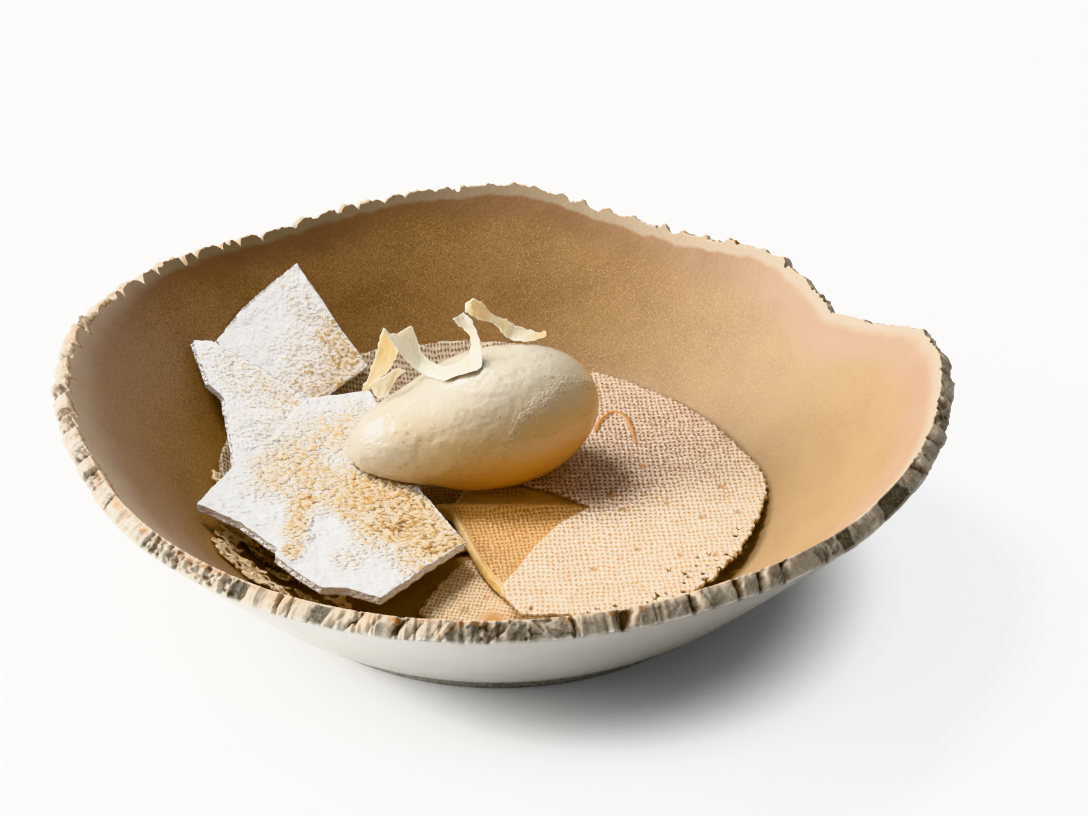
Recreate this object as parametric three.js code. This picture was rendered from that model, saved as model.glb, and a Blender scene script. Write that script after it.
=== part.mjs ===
// A plated creme brulee in a torn-rim stoneware bowl.
//
// Millimetres, +Z up. The origin is the middle of the foot's underside, on the bowl's axis.
// +Y points to the back of the dish, +X to its right.
//
// Every piece is one closed skin: a sphere's net of columns and rows, from a top pole to a
// bottom pole, with each point moved to where the piece's own rule puts it.

import * as THREE from 'three';
import { mergeVertices } from 'three/addons/utils/BufferGeometryUtils.js';

// ---------------------------------------------------------------- driving dimensions

// Bowl
const FLOOR_TOP = 9;
const FLAT_FLOOR_RADIUS = 50;
const FLOOR_EDGE_RADIUS = 57;
const FLOOR_EDGE_TOP = 9.2;
const FOOT_RADIUS = 64.6;
const FOOT_HEIGHT = 3.3;
const FOOT_TAPER = 0.4;
const FOOT_RING_WIDTH = 5.7;
const FOOT_RECESS = 1.8;
const FOOT_INNER_TAPER = 1;
const BOWL_COLUMNS = 120;
const BREAK_DROP = 3.4;
const CHIP_DEPTH = 0.55;
const BROAD_CHIPS = 9.5;
const FINE_CHIPS = 17;
const FACE_ROUGHNESS = 0.5;
const FACE_RIPPLES = 23;

// Food
const LACE_THICKNESS = 1.1;
const FOLD_THICKNESS = 4;
const FRONT_SHARD_THICKNESS = 2.4;
const LEFT_SHARD_THICKNESS = 2.0;
const BACK_SHARD_THICKNESS = 1.8;
const CURL_THICKNESS = 0.6;
const RESTING_GAP = 0.35;
const OUTLINE_POINTS = 60;
const SHARD_STEP = 8;

// Spoonful of ice cream
const SCOOP_TIP = new THREE.Vector3(-40.6, 3, 25);
const SCOOP_END = new THREE.Vector3(25.4, 15, 38);
const SCOOP_RADIUS = 18.3;
const SCOOP_TALLNESS = 1.03;
const SCOOP_TIP_POWER = 0.786;
const SCOOP_END_POWER = 0.525;
const SCOOP_COLUMNS = 32;
const SCOOP_ROWS = 22;

// ---------------------------------------------------------------- small maths helpers

const clamp01 = (x) => THREE.MathUtils.clamp(x, 0, 1);
const smooth = (x, low, high) => THREE.MathUtils.smoothstep(x, low, high);
const lerp = THREE.MathUtils.lerp;
const degrees = THREE.MathUtils.degToRad;
const vector2s = (pairs) => pairs.map(([x, y]) => new THREE.Vector2(x, y));

/** Height of a line through points sorted by x, straight between them. */
function alongPolyline(points, x) {
  let k = 1;
  while (k < points.length - 1 && points[k].x < x) k += 1;
  const a = points[k - 1];
  const b = points[k];
  return lerp(a.y, b.y, (x - a.x) / (b.x - a.x));
}

// ---------------------------------------------------------------- closed skins

/**
 * A closed skin with the net of a sphere: `columns` round it and `rows` rings from the top
 * pole to the bottom pole. place(column, row) gives the point; row runs from 0 to rows.
 */
function skin(columns, rows, place) {
  const geometry = new THREE.SphereGeometry(1, columns, rows);
  const { position } = geometry.attributes;
  for (let i = 0; i < position.count; i += 1) {
    // The net's last column is its first one again.
    const column = (i % (columns + 1)) % columns;
    const row = Math.floor(i / (columns + 1));
    const point = place(column, row);
    position.setXYZ(i, point.x, point.y, point.z);
  }
  geometry.deleteAttribute('uv');
  geometry.deleteAttribute('normal');
  const merged = mergeVertices(geometry, 1e-4);
  merged.computeVertexNormals();
  return merged;
}

function piece(name, geometry, color, roughness) {
  const material = new THREE.MeshStandardMaterial({ color, roughness, metalness: 0 });
  const mesh = new THREE.Mesh(geometry, material);
  mesh.name = name;
  return mesh;
}

// ---------------------------------------------------------------- bowl

// Sections of the wall, from the foot outwards and up past the torn lip.
const WALL_OUTSIDE = new THREE.SplineCurve(vector2s([
  [65.3, 3.9], [70.5, 6.6], [79, 13.7], [90.6, 26], [105, 41.6], [122, 60.5],
]));
const WALL_INSIDE = new THREE.SplineCurve(vector2s([
  [65.6, 11.4], [74.7, 17.8], [86.9, 29.5], [101.3, 44.9], [118.3, 63.8],
]));

// Places along those curves where the wall has a ring of points.
const INSIDE_RINGS = [0, 0.1, 0.25, 0.42, 0.58];
const INSIDE_TOP = 0.95;
const OUTSIDE_RINGS = [0.62, 0.4, 0.2, 0];

// Height of the torn lip's inner edge at angles round the bowl, in degrees from +X.
// It dips at the back right, drops into one deep notch and stands high on the right.
const LIP_HEIGHTS = [
  [0, 57.5], [9, 56], [18, 49], [27, 45], [35, 47.5], [43, 50], [60, 47.8], [72, 49.5],
  [88, 54.2], [110, 52.8], [128, 51.3], [150, 55], [172, 57.2], [186, 55.6], [201, 51],
  [215, 50.2], [245, 49.8], [268, 52], [286, 53.8], [298, 57], [310, 57.2], [326, 53.5],
  [342, 55.5], [360, 57.5],
];
const LIP_CURVE = vector2s(LIP_HEIGHTS);

const insideAt = (t) => WALL_INSIDE.getPoint(t);
const outsideAt = (t) => WALL_OUTSIDE.getPoint(t);

// The bowl's inside as a line of radius against height, shared by what lies in it.
const INSIDE_LINE = [
  new THREE.Vector2(0, FLOOR_TOP),
  new THREE.Vector2(FLAT_FLOOR_RADIUS, FLOOR_TOP),
  new THREE.Vector2(FLOOR_EDGE_RADIUS, FLOOR_EDGE_TOP),
  ...INSIDE_RINGS.map(insideAt),
  insideAt(INSIDE_TOP),
];
const bowlHeight = (x, y) => alongPolyline(INSIDE_LINE, Math.hypot(x, y));

/** Small bites along the break: rounded hollows between sharp points. */
function chips(angle) {
  const broad = Math.abs(Math.sin(BROAD_CHIPS * angle + 1.6 * Math.sin(3 * angle)));
  const fine = Math.abs(Math.sin(FINE_CHIPS * angle + 2.1 * Math.sin(5 * angle + 1)));
  return -CHIP_DEPTH * (broad + fine);
}

/** The point of a rising curve at a given height. */
function atHeight(curve, height) {
  let low = 0.5;
  let high = 1;
  for (let k = 0; k < 24; k += 1) {
    const middle = (low + high) / 2;
    if (curve.getPoint(middle).y < height) low = middle;
    else high = middle;
  }
  return curve.getPoint(low);
}

/** Half section of the bowl at one angle: floor, inside, break, outside, foot, underside. */
function bowlSection(angle) {
  const lip = alongPolyline(LIP_CURVE, THREE.MathUtils.radToDeg(angle)) + chips(angle);
  const inner = atHeight(WALL_INSIDE, lip);
  const outer = atHeight(WALL_OUTSIDE, lip - BREAK_DROP);
  const middle = inner.clone().lerp(outer, 0.5);
  const rough = FACE_ROUGHNESS * Math.sin(FACE_RIPPLES * angle + 2 * Math.sin(7 * angle));
  middle.addScalar(rough);
  const footInner = FOOT_RADIUS - FOOT_RING_WIDTH;
  return [
    new THREE.Vector2(0, FLOOR_TOP),
    new THREE.Vector2(FLAT_FLOOR_RADIUS, FLOOR_TOP),
    new THREE.Vector2(FLOOR_EDGE_RADIUS, FLOOR_EDGE_TOP),
    ...INSIDE_RINGS.map(insideAt),
    inner,
    middle,
    outer,
    ...OUTSIDE_RINGS.map(outsideAt),
    new THREE.Vector2(FOOT_RADIUS, FOOT_HEIGHT),
    new THREE.Vector2(FOOT_RADIUS - FOOT_TAPER, 0),
    new THREE.Vector2(footInner, 0),
    new THREE.Vector2(footInner - FOOT_INNER_TAPER, FOOT_RECESS),
    new THREE.Vector2(0, FOOT_RECESS),
  ];
}

function bowl() {
  const step = (2 * Math.PI) / BOWL_COLUMNS;
  const sections = [];
  for (let k = 0; k < BOWL_COLUMNS; k += 1) sections.push(bowlSection(k * step));
  const rows = sections[0].length - 1;
  return skin(BOWL_COLUMNS, rows, (column, row) => {
    const point = sections[column][row];
    const angle = column * step;
    return new THREE.Vector3(point.x * Math.cos(angle), point.x * Math.sin(angle), point.y);
  });
}

// ---------------------------------------------------------------- sheets and shards

/** Points along a closed outline, a step apart, keeping every corner. */
function walkOutline(corners, step) {
  const points = [];
  corners.forEach((corner, k) => {
    const next = corners[(k + 1) % corners.length];
    const count = Math.max(1, Math.round(corner.distanceTo(next) / step));
    for (let i = 0; i < count; i += 1) points.push(corner.clone().lerp(next, i / count));
  });
  return points;
}

/** The same corners joined by one smooth closed curve. */
function roundOutline(corners, count) {
  const curve = new THREE.SplineCurve([...corners, corners[0]]);
  return curve.getSpacedPoints(count).slice(0, count);
}

/** Upward normal of a surface z = height(x, y). */
function normalOf(height, x, y) {
  const h = 0.5;
  const dx = (height(x + h, y) - height(x - h, y)) / (2 * h);
  const dy = (height(x, y + h) - height(x, y - h)) / (2 * h);
  return new THREE.Vector3(-dx, -dy, 1).normalize();
}

/**
 * A slab of even thickness about the surface z = height(x, y), with rings of points drawn
 * in from its outline to a middle point. rings are fractions of the way out, and bulge
 * pushes the middle of its side outwards.
 */
function slab({ outline, middle, height, thickness, rings, bulge = 0 }) {
  if (THREE.ShapeUtils.isClockWise(outline)) outline.reverse();
  const side = bulge > 0 ? [[1, 0]] : [];
  const levels = [
    [0, 0.5],
    ...rings.map((fraction) => [fraction, 0.5]),
    ...side,
    ...[...rings].reverse().map((fraction) => [fraction, -0.5]),
    [0, -0.5],
  ];
  return skin(outline.length, levels.length - 1, (column, row) => {
    const [fraction, level] = levels[row];
    const edge = outline[column];
    const x = lerp(middle.x, edge.x, fraction);
    const y = lerp(middle.y, edge.y, fraction);
    const normal = normalOf(height, x, y);
    const point = new THREE.Vector3(x, y, height(x, y));
    point.addScaledVector(normal, thickness * level);
    if (level === 0) {
      const out = new THREE.Vector3(edge.x - middle.x, edge.y - middle.y, 0).normalize();
      point.addScaledVector(out, bulge);
    }
    return point;
  });
}

/** Height of the middle of a sheet that lies on the bowl's inside. */
function lyingOnBowl(thickness) {
  return (x, y) => {
    const slope = normalOf(bowlHeight, x, y);
    return bowlHeight(x, y) + (RESTING_GAP + thickness / 2) / slope.z;
  };
}

/** Corners given as angle in degrees and distance from a middle point. */
function aroundMiddle(middle, polar) {
  return polar.map(([angle, distance]) => new THREE.Vector2(
    middle.x + distance * Math.cos(degrees(angle)),
    middle.y + distance * Math.sin(degrees(angle)),
  ));
}

// Lace wafer on the bowl's floor. It climbs the wall at the back and left, its lower left
// is frayed, and its front is broken out.
function laceBase() {
  const middle = new THREE.Vector2(-3, 8);
  const corners = aroundMiddle(middle, [
    [0, 60], [30, 60], [58, 55], [72, 60], [85, 67], [105, 67.5], [125, 69], [150, 71], [172, 72],
    [190, 72.5], [205, 72.5], [217, 69], [228, 64], [236, 50], [246, 34], [262, 28],
    [285, 28], [310, 34], [340, 52],
  ]);
  return slab({
    outline: roundOutline(corners, OUTLINE_POINTS),
    middle,
    height: lyingOnBowl(LACE_THICKNESS),
    thickness: LACE_THICKNESS,
    rings: [0.45, 0.72, 0.87, 1],
  });
}

// Lace wafer in front, under the fold and the right wafer.
function laceFront() {
  const corners = vector2s([
    [-20.5, -46.5], [-15.7, -34.5], [-9.4, -24], [10, -24], [30, -30], [34, -46], [20, -55],
    [-2, -56], [-14, -53],
  ]);
  return slab({
    outline: walkOutline(corners, 6),
    middle: new THREE.Vector2(6, -39),
    height: lyingOnBowl(LACE_THICKNESS),
    thickness: LACE_THICKNESS,
    rings: [0.55, 1],
  });
}

// Right lace wafer: round at the right, cut along its left edge, resting on the wall at the
// back, over the fold at the left, and lifted off the wall at the front right.
const RIGHT_WAFER_RADIUS = 67.8;
const RIGHT_WAFER_BELLY = 3;
const RIGHT_WAFER_TRIM = 8;
const RIGHT_WAFER_HEIGHT = 15.45;
const RISE_TO_FOLD = 1.15;
const RISE_START = 42;
const FRONT_LIFT = 1.7;
const FRONT_LIFT_ANGLE = degrees(-42);
const FRONT_LIFT_START = 30;
const FRONT_LIFT_LENGTH = 40;
const rightWaferHeight = (x, y) => {
  const towardsFold = clamp01((RISE_START - x) / RISE_START);
  const frontRight = x * Math.cos(FRONT_LIFT_ANGLE) + y * Math.sin(FRONT_LIFT_ANGLE);
  const lifted = clamp01((frontRight - FRONT_LIFT_START) / FRONT_LIFT_LENGTH);
  return RIGHT_WAFER_HEIGHT + RISE_TO_FOLD * towardsFold + FRONT_LIFT * lifted * lifted;
};

function laceRight() {
  const corners = [];
  for (let angle = -72; angle <= 68; angle += 4) {
    const belly = RIGHT_WAFER_BELLY * Math.exp(-(((angle - 4) / 14) ** 2));
    const reach = RIGHT_WAFER_RADIUS + belly - RIGHT_WAFER_TRIM * smooth(-angle, 46, 76);
    const x = reach * Math.cos(degrees(angle));
    const y = reach * Math.sin(degrees(angle));
    corners.push(new THREE.Vector2(x, y));
  }
  const leftEdge = vector2s([
    [15, 50], [6, 25], [2, 12], [4, 4.5], [7, 2.5], [12.4, 0.2], [17.2, -3], [23.5, -7.3],
    [15.3, -15.7], [8.9, -26.3], [4.7, -36.4], [1.5, -42.4], [0.4, -46.5], [3, -51.5],
    [6, -56.5],
  ]);
  return slab({
    outline: walkOutline([...corners, ...leftEdge], 6.5),
    middle: new THREE.Vector2(38, -6),
    height: rightWaferHeight,
    thickness: LACE_THICKNESS,
    rings: [0.4, 0.72, 0.9, 1],
  });
}

// Folded custard sheet in the middle: a thick corner with a ridge at its back, and a second
// pleat running under the ice cream.
const FOLD_MIDDLE_HEIGHT = 12.85;
const FOLD_RIDGE = 0.35;
const FOLD_PLEAT = 0.5;
const FOLD_VALLEY = 0.35;
const FOLD_BULGE = 1.2;
const foldHeight = (x, y) => {
  const ridge = Math.exp(-(((y + 4.5) / 2.6) ** 2));
  const pleat = Math.exp(-(((y - 1.5 + 0.25 * (x - 9)) / 2.4) ** 2)) * smooth(x, 2, 14);
  const valley = smooth(y, -2, 3);
  const open = 1 - smooth(x, 14, 24);
  const raised = open * (FOLD_RIDGE * ridge + FOLD_PLEAT * pleat);
  return FOLD_MIDDLE_HEIGHT + raised - FOLD_VALLEY * valley;
};

function custardFold() {
  const corners = vector2s([
    [-16.6, -4.4], [-12, -2.4], [-9, 6], [4, 11], [20, 10], [27, 2], [28, -12], [25, -30],
    [14, -43], [2.4, -44], [-1.7, -37.4], [-4.6, -31], [-8.6, -18.7], [-12.2, -8],
  ]);
  return slab({
    outline: walkOutline(corners, 4.4),
    middle: new THREE.Vector2(4, -16),
    height: foldHeight,
    thickness: FOLD_THICKNESS,
    rings: [0.45, 0.75, 0.9, 1],
    bulge: FOLD_BULGE,
  });
}

// Shards of toasted meringue. Each lies in its own leaning plane z = at0 + perX x + perY y.
const leaning = ({ at0, perX, perY }) => (x, y) => at0 + perX * x + perY * y;
const FRONT_LEAN = { at0: 16.9, perX: -0.13, perY: -0.005 };
const LEFT_LEAN = { at0: -22.5, perX: -0.623, perY: 0.248 };
const BACK_LEAN = { at0: -40.3, perX: -0.609, perY: 0.609 };

function meringueFront() {
  const corners = vector2s([
    [-77, -24.2], [-65.8, -30.7], [-55.3, -40.6], [-55.6, -43.8], [-49.7, -49.4],
    [-43.3, -55.2], [-36.2, -54.5], [-28.3, -56.9], [-18.6, -42.6], [-8.6, -28.7],
    [-20.6, -6.7], [-28.7, 18.1], [-37.1, 41.8], [-45.1, 37.9], [-53.5, 33.9],
    [-56.3, 28.4], [-61.3, 12.2], [-69.2, -2.7],
  ]);
  return slab({
    outline: walkOutline(corners, SHARD_STEP),
    middle: new THREE.Vector2(-43, -14),
    height: leaning(FRONT_LEAN),
    thickness: FRONT_SHARD_THICKNESS,
    rings: [0.5, 1],
  });
}

function meringueLeft() {
  const corners = vector2s([
    [-84.9, 38.4], [-80.5, 41.4], [-68.9, 41.7], [-54, 38.6], [-55.5, 30], [-60, 17],
    [-66.5, 4], [-70.7, 1], [-71.9, 9], [-74.1, 17.2], [-75.8, 23.7], [-79.6, 25.7],
    [-83.2, 34],
  ]);
  return slab({
    outline: walkOutline(corners, SHARD_STEP),
    middle: new THREE.Vector2(-69, 25),
    height: leaning(LEFT_LEAN),
    thickness: LEFT_SHARD_THICKNESS,
    rings: [0.5, 1],
  });
}

function meringueBack() {
  const corners = vector2s([
    [-59.5, 77.7], [-72.2, 59.8], [-79.4, 45.4], [-75, 40], [-56.5, 35.5], [-50.5, 44],
    [-38.5, 59.6], [-46.8, 66.1], [-53.7, 72.6],
  ]);
  return slab({
    outline: walkOutline(corners, SHARD_STEP),
    middle: new THREE.Vector2(-61, 55),
    height: leaning(BACK_LEAN),
    thickness: BACK_SHARD_THICKNESS,
    rings: [0.5, 1],
  });
}

// ---------------------------------------------------------------- spoonful of ice cream

// Lowest height its underside may take: on the wafers, and on the front meringue shard,
// whose right edge runs from one corner to the other.
const SCOOP_SEAT = 17.2;
const SCOOP_GAP_ON_SHARD = 0.45;
const SHARD_EDGE_POINT = new THREE.Vector2(-28.7, 18.1);
const SHARD_EDGE_OUT = new THREE.Vector2(0.9276, 0.3737);

function scoopSeat(x, y) {
  const beyond = new THREE.Vector2(x, y).sub(SHARD_EDGE_POINT).dot(SHARD_EDGE_OUT);
  const shardTop = leaning(FRONT_LEAN)(x, y) + FRONT_SHARD_THICKNESS / 2;
  const onShard = shardTop + SCOOP_GAP_ON_SHARD;
  return lerp(onShard, SCOOP_SEAT, smooth(beyond, 3, 11));
}

function scoop() {
  const axis = SCOOP_END.clone().sub(SCOOP_TIP);
  const across = new THREE.Vector3(0, 0, 1).cross(axis).normalize();
  const up = axis.clone().cross(across).normalize();
  const peak = SCOOP_TIP_POWER / (SCOOP_TIP_POWER + SCOOP_END_POWER);
  const swell = (s) => (s ** SCOOP_TIP_POWER) * ((1 - s) ** SCOOP_END_POWER);
  return skin(SCOOP_COLUMNS, SCOOP_ROWS, (column, row) => {
    // Rows crowd together towards both ends, where the shape turns fastest.
    const s = (1 - Math.cos((Math.PI * row) / SCOOP_ROWS)) / 2;
    const radius = SCOOP_RADIUS * (swell(s) / swell(peak));
    const angle = (-2 * Math.PI * column) / SCOOP_COLUMNS;
    const point = SCOOP_TIP.clone().addScaledVector(axis, s);
    point.addScaledVector(across, radius * Math.cos(angle));
    point.addScaledVector(up, radius * SCOOP_TALLNESS * Math.sin(angle));
    point.z = Math.max(point.z, scoopSeat(point.x, point.y));
    return point;
  });
}

// ---------------------------------------------------------------- dried milk curls

/**
 * A twisted ribbon. Its stations are pairs of opposite edge points, joined by one smooth
 * curve along each edge.
 */
function ribbon(stations, steps) {
  const points = (k) => stations.map((station) => new THREE.Vector3(...station[k]));
  const edgeA = new THREE.CatmullRomCurve3(points(0));
  const edgeB = new THREE.CatmullRomCurve3(points(1));
  const rows = steps + 2;
  return skin(4, rows, (column, row) => {
    const t = clamp01((row - 1) / steps);
    const a = edgeA.getPoint(t);
    const b = edgeB.getPoint(t);
    const centre = a.clone().lerp(b, 0.5);
    if (row === 0 || row === rows) return centre;
    const along = edgeA.getTangent(t).add(edgeB.getTangent(t)).normalize();
    const face = b.clone().sub(a).cross(along).normalize().multiplyScalar(CURL_THICKNESS / 2);
    const corner = [a.clone().add(face), a.clone().sub(face), b.clone().sub(face),
      b.clone().add(face)];
    return corner[column];
  });
}

const LEFT_CURL = [
  [[-36.7, 11, 40.3], [-35.2, 10.5, 40.5]],
  [[-34.9, 11, 44.9], [-31.9, 9.5, 44.6]],
  [[-33.1, 11, 49.1], [-29, 9, 48.3]],
  [[-31.7, 10.5, 55.3], [-27.2, 8.5, 51.6]],
  [[-30.2, 9.5, 60.1], [-26.5, 8, 54.1]],
  [[-28.4, 10.5, 57.7], [-26.1, 8.3, 53.2]],
  [[-25.9, 12, 57.7], [-24.9, 8.8, 50.9]],
  [[-23.3, 13.5, 58.7], [-23.3, 9, 49]],
  [[-22.1, 13.5, 55.3], [-21.2, 8.5, 47.3]],
  [[-20.9, 13, 51.2], [-18.2, 6.3, 47.2]],
  [[-18.6, 12, 48.7], [-14.6, 3, 48.4]],
  [[-14.5, 7.8, 49.5], [-9.7, 2.8, 50.3]],
  [[-10.5, 7.4, 51], [-6.8, 3.1, 51.1]],
  [[-8.3, 11, 51.4], [-5.1, 4.2, 51.5]],
  [[-7.6, 11, 54.3], [-4.9, 7, 53.3]],
  [[-8.1, 10.5, 57.5], [-5.3, 8, 57.1]],
  [[-9.7, 10, 59.7], [-6.5, 9, 60.7]],
  [[-11.3, 9.5, 61.2], [-8, 10, 63]],
  [[-12.5, 9.5, 62.7], [-9.4, 11, 64]],
];

const SMALL_CURL = [
  [[-34.8, 8.5, 43.5], [-33.5, 8.3, 41.3]],
  [[-32.1, 7.6, 45.7], [-32.3, 8, 40.1]],
  [[-29.4, 6.8, 47.9], [-30.8, 7.4, 40.2]],
  [[-26.6, 6.3, 50], [-29.8, 7.2, 40.9]],
  [[-24.6, 8.6, 48], [-28.5, 7.8, 43.9]],
];

const RIGHT_CURL = [
  [[-9.2, 17, 62.9], [-9.3, 14.5, 62.4]],
  [[-7.3, 17.3, 64.8], [-8.2, 14.3, 61.2]],
  [[-5.5, 17.5, 63.8], [-6.2, 14.6, 59.9]],
  [[-4, 17.6, 61.9], [-4.4, 15.5, 59]],
  [[-2.8, 17.6, 59.8], [-3.1, 16.4, 58.4]],
  [[-0.8, 19, 58.4], [-1.7, 17, 56.8]],
  [[1.4, 20.4, 56.6], [0.1, 17.6, 54.4]],
  [[3.6, 21.3, 54.6], [1.7, 18.2, 52]],
  [[6.5, 22.2, 52.6], [4.7, 17.2, 51.9]],
  [[9.5, 22, 51.7], [8.4, 18.2, 51.3]],
  [[11.7, 21.5, 52.4], [11.9, 19.4, 52.1]],
];

// ---------------------------------------------------------------- the dish

const dish = new THREE.Group();
dish.add(
  piece('bowl', bowl(), 0xb98a5c, 0.45),
  piece('lace_base', laceBase(), 0x9c7a55, 0.7),
  piece('lace_front', laceFront(), 0xab865f, 0.7),
  piece('lace_right', laceRight(), 0xe7c5a3, 0.6),
  piece('custard_fold', custardFold(), 0xd6a570, 0.35),
  piece('meringue_front', meringueFront(), 0xece3d3, 0.8),
  piece('meringue_left', meringueLeft(), 0xeae4da, 0.8),
  piece('meringue_back', meringueBack(), 0xe6e0d8, 0.8),
  piece('ice_cream', scoop(), 0xd9c4a0, 0.4),
  piece('curl_left', ribbon(LEFT_CURL, 40), 0xf0e6cd, 0.5),
  piece('curl_small', ribbon(SMALL_CURL, 10), 0xf0e6cd, 0.5),
  piece('curl_right', ribbon(RIGHT_CURL, 20), 0xefdfb8, 0.5),
);

export default dish;
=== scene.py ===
"""Looks for a plated creme brulee in a torn-rim stoneware bowl.

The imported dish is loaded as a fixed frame, and each of its pieces is stood in for by a
finely modelled one: the bowl with its broken lip, the lace wafers, the folded custard
sheet, the toasted meringue shards, the oval of ice cream and the curls of dried milk.

Lengths are worked out in millimetres and put into the meshes in metres.
"""

import logging
import math
from dataclasses import dataclass
from enum import Enum
from itertools import product
from typing import Callable, Dict, List, Optional, Sequence, Tuple, Union

import bmesh
import bpy
import numpy as np
from mathutils import Euler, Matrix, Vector


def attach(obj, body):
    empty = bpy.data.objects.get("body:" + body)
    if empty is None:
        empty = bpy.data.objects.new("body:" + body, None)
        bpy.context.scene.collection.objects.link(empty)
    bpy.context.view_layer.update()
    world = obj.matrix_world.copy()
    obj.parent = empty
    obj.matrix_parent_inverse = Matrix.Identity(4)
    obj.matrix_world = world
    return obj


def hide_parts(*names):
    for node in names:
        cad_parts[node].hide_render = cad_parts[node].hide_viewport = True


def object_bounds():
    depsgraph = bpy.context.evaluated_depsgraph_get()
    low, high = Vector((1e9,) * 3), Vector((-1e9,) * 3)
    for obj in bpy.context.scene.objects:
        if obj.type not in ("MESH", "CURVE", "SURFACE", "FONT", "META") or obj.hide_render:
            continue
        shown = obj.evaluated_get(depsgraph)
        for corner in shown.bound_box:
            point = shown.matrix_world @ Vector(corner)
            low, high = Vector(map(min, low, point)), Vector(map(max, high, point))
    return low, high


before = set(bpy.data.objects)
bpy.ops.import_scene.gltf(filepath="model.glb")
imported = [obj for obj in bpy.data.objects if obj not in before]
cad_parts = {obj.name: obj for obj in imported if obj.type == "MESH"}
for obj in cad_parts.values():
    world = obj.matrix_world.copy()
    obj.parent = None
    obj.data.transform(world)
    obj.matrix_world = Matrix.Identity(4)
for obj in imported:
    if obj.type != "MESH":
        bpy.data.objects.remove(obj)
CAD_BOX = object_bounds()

LOG = logging.getLogger("creme_brulee")
MM = 0.001
BODY = "root"
FAR = 1e9
TINY = 1e-12
HASH_PRIMES = (73856093, 19349663, 83492791)
HASH_SEED_STEP = 40503
HASH_SCRAMBLE = np.uint64(0x45D9F3B)
WORD, FRACTION = np.uint64(0xFFFFFFFF), np.uint64(0xFFFFFF)
OCTAVE_SHIFT = 17.3
GRAIN_GAIN = 1.4

Array = np.ndarray
Mesh = bpy.types.Mesh
Piece = bpy.types.Object
Material = bpy.types.Material
Pair = Tuple[float, float]
Spot = Tuple[float, float, float]
Colour = Tuple[float, float, float]
Arc = Tuple[float, float, float, float]
Marks = Dict[str, Array]
Whole = Union[int, Array]
Number = Union[float, Array]
Marked = Tuple[Array, Marks]
Line = Sequence[Pair]


# ---------------------------------------- numbers and noise


def smooth(x: Array, low: float, high: float) -> Array:
    """A soft step from 0 at low to 1 at high."""
    t = np.clip((x - low) / (high - low), 0.0, 1.0)
    return t * t * (3.0 - 2.0 * t)


def fade(x: Array, low: float, high: float) -> Array:
    """A soft step from 1 at low to 0 at high."""
    return 1 - smooth(x, low, high)


def between(x: Array, start: float, full: float, fades: float, gone: float) -> Array:
    """1 from full to fades, with soft steps from 0 at start and back to 0 at gone."""
    return smooth(x, start, full) * fade(x, fades, gone)


def bell(x: Array, middle: float, width: float) -> Array:
    """A soft bump of height 1 at middle."""
    return np.exp(-(((x - middle) / width) ** 2))


def places(*axes: Number) -> Array:
    """One row for each place, with one column for each axis."""
    return np.column_stack(np.broadcast_arrays(*axes))


def hashed(seed: int, *axes: Whole) -> Array:
    """A fixed random number from 0 to 1 for each lattice point.

    Args:
        seed: Which set of numbers.
        axes: Whole numbers along up to three axes.

    Returns:
        One number for each lattice point.
    """
    mixed = np.int64(seed * HASH_SEED_STEP + 7)
    for whole, prime in zip(axes, HASH_PRIMES):
        mixed = mixed ^ (np.asarray(whole, np.int64) * prime)
    h = mixed.astype(np.uint64) & WORD
    for _ in range(2):
        h = ((h ^ (h >> np.uint64(16))) * HASH_SCRAMBLE) & WORD
    h = h ^ (h >> np.uint64(16))
    return (h & FRACTION).astype(float) / float(FRACTION)


def grain(points: Array, size: float, seed: int, octaves: int = 1) -> Array:
    """Soft noise from about -1 to 1.

    Args:
        points: N x 2 or N x 3 places in millimetres.
        size: Size of its largest blots in millimetres.
        seed: Which noise.
        octaves: How many finer layers, each half the size and strength of the last.

    Returns:
        One value for each point.
    """
    if points.shape[1] == 2:
        points = np.column_stack([points, np.zeros(len(points))])
    total = np.zeros(len(points))
    weight, weights = 1.0, 0.0
    for octave in range(octaves):
        p = points / (size / 2**octave) + OCTAVE_SHIFT * octave
        base = np.floor(p)
        f = p - base
        f = f * f * (3.0 - 2.0 * f)
        b = base.astype(np.int64)
        value = np.zeros(len(points))
        for dx, dy, dz in product((0, 1), repeat=3):
            w = (f[:, 0] if dx else 1 - f[:, 0]) * (f[:, 1] if dy else 1 - f[:, 1])
            w = w * (f[:, 2] if dz else 1 - f[:, 2])
            value += w * hashed(seed + octave, b[:, 0] + dx, b[:, 1] + dy, b[:, 2] + dz)
        total += weight * (2.0 * value - 1.0)
        weights += weight
        weight *= 0.5
    return total / weights * GRAIN_GAIN


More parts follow.
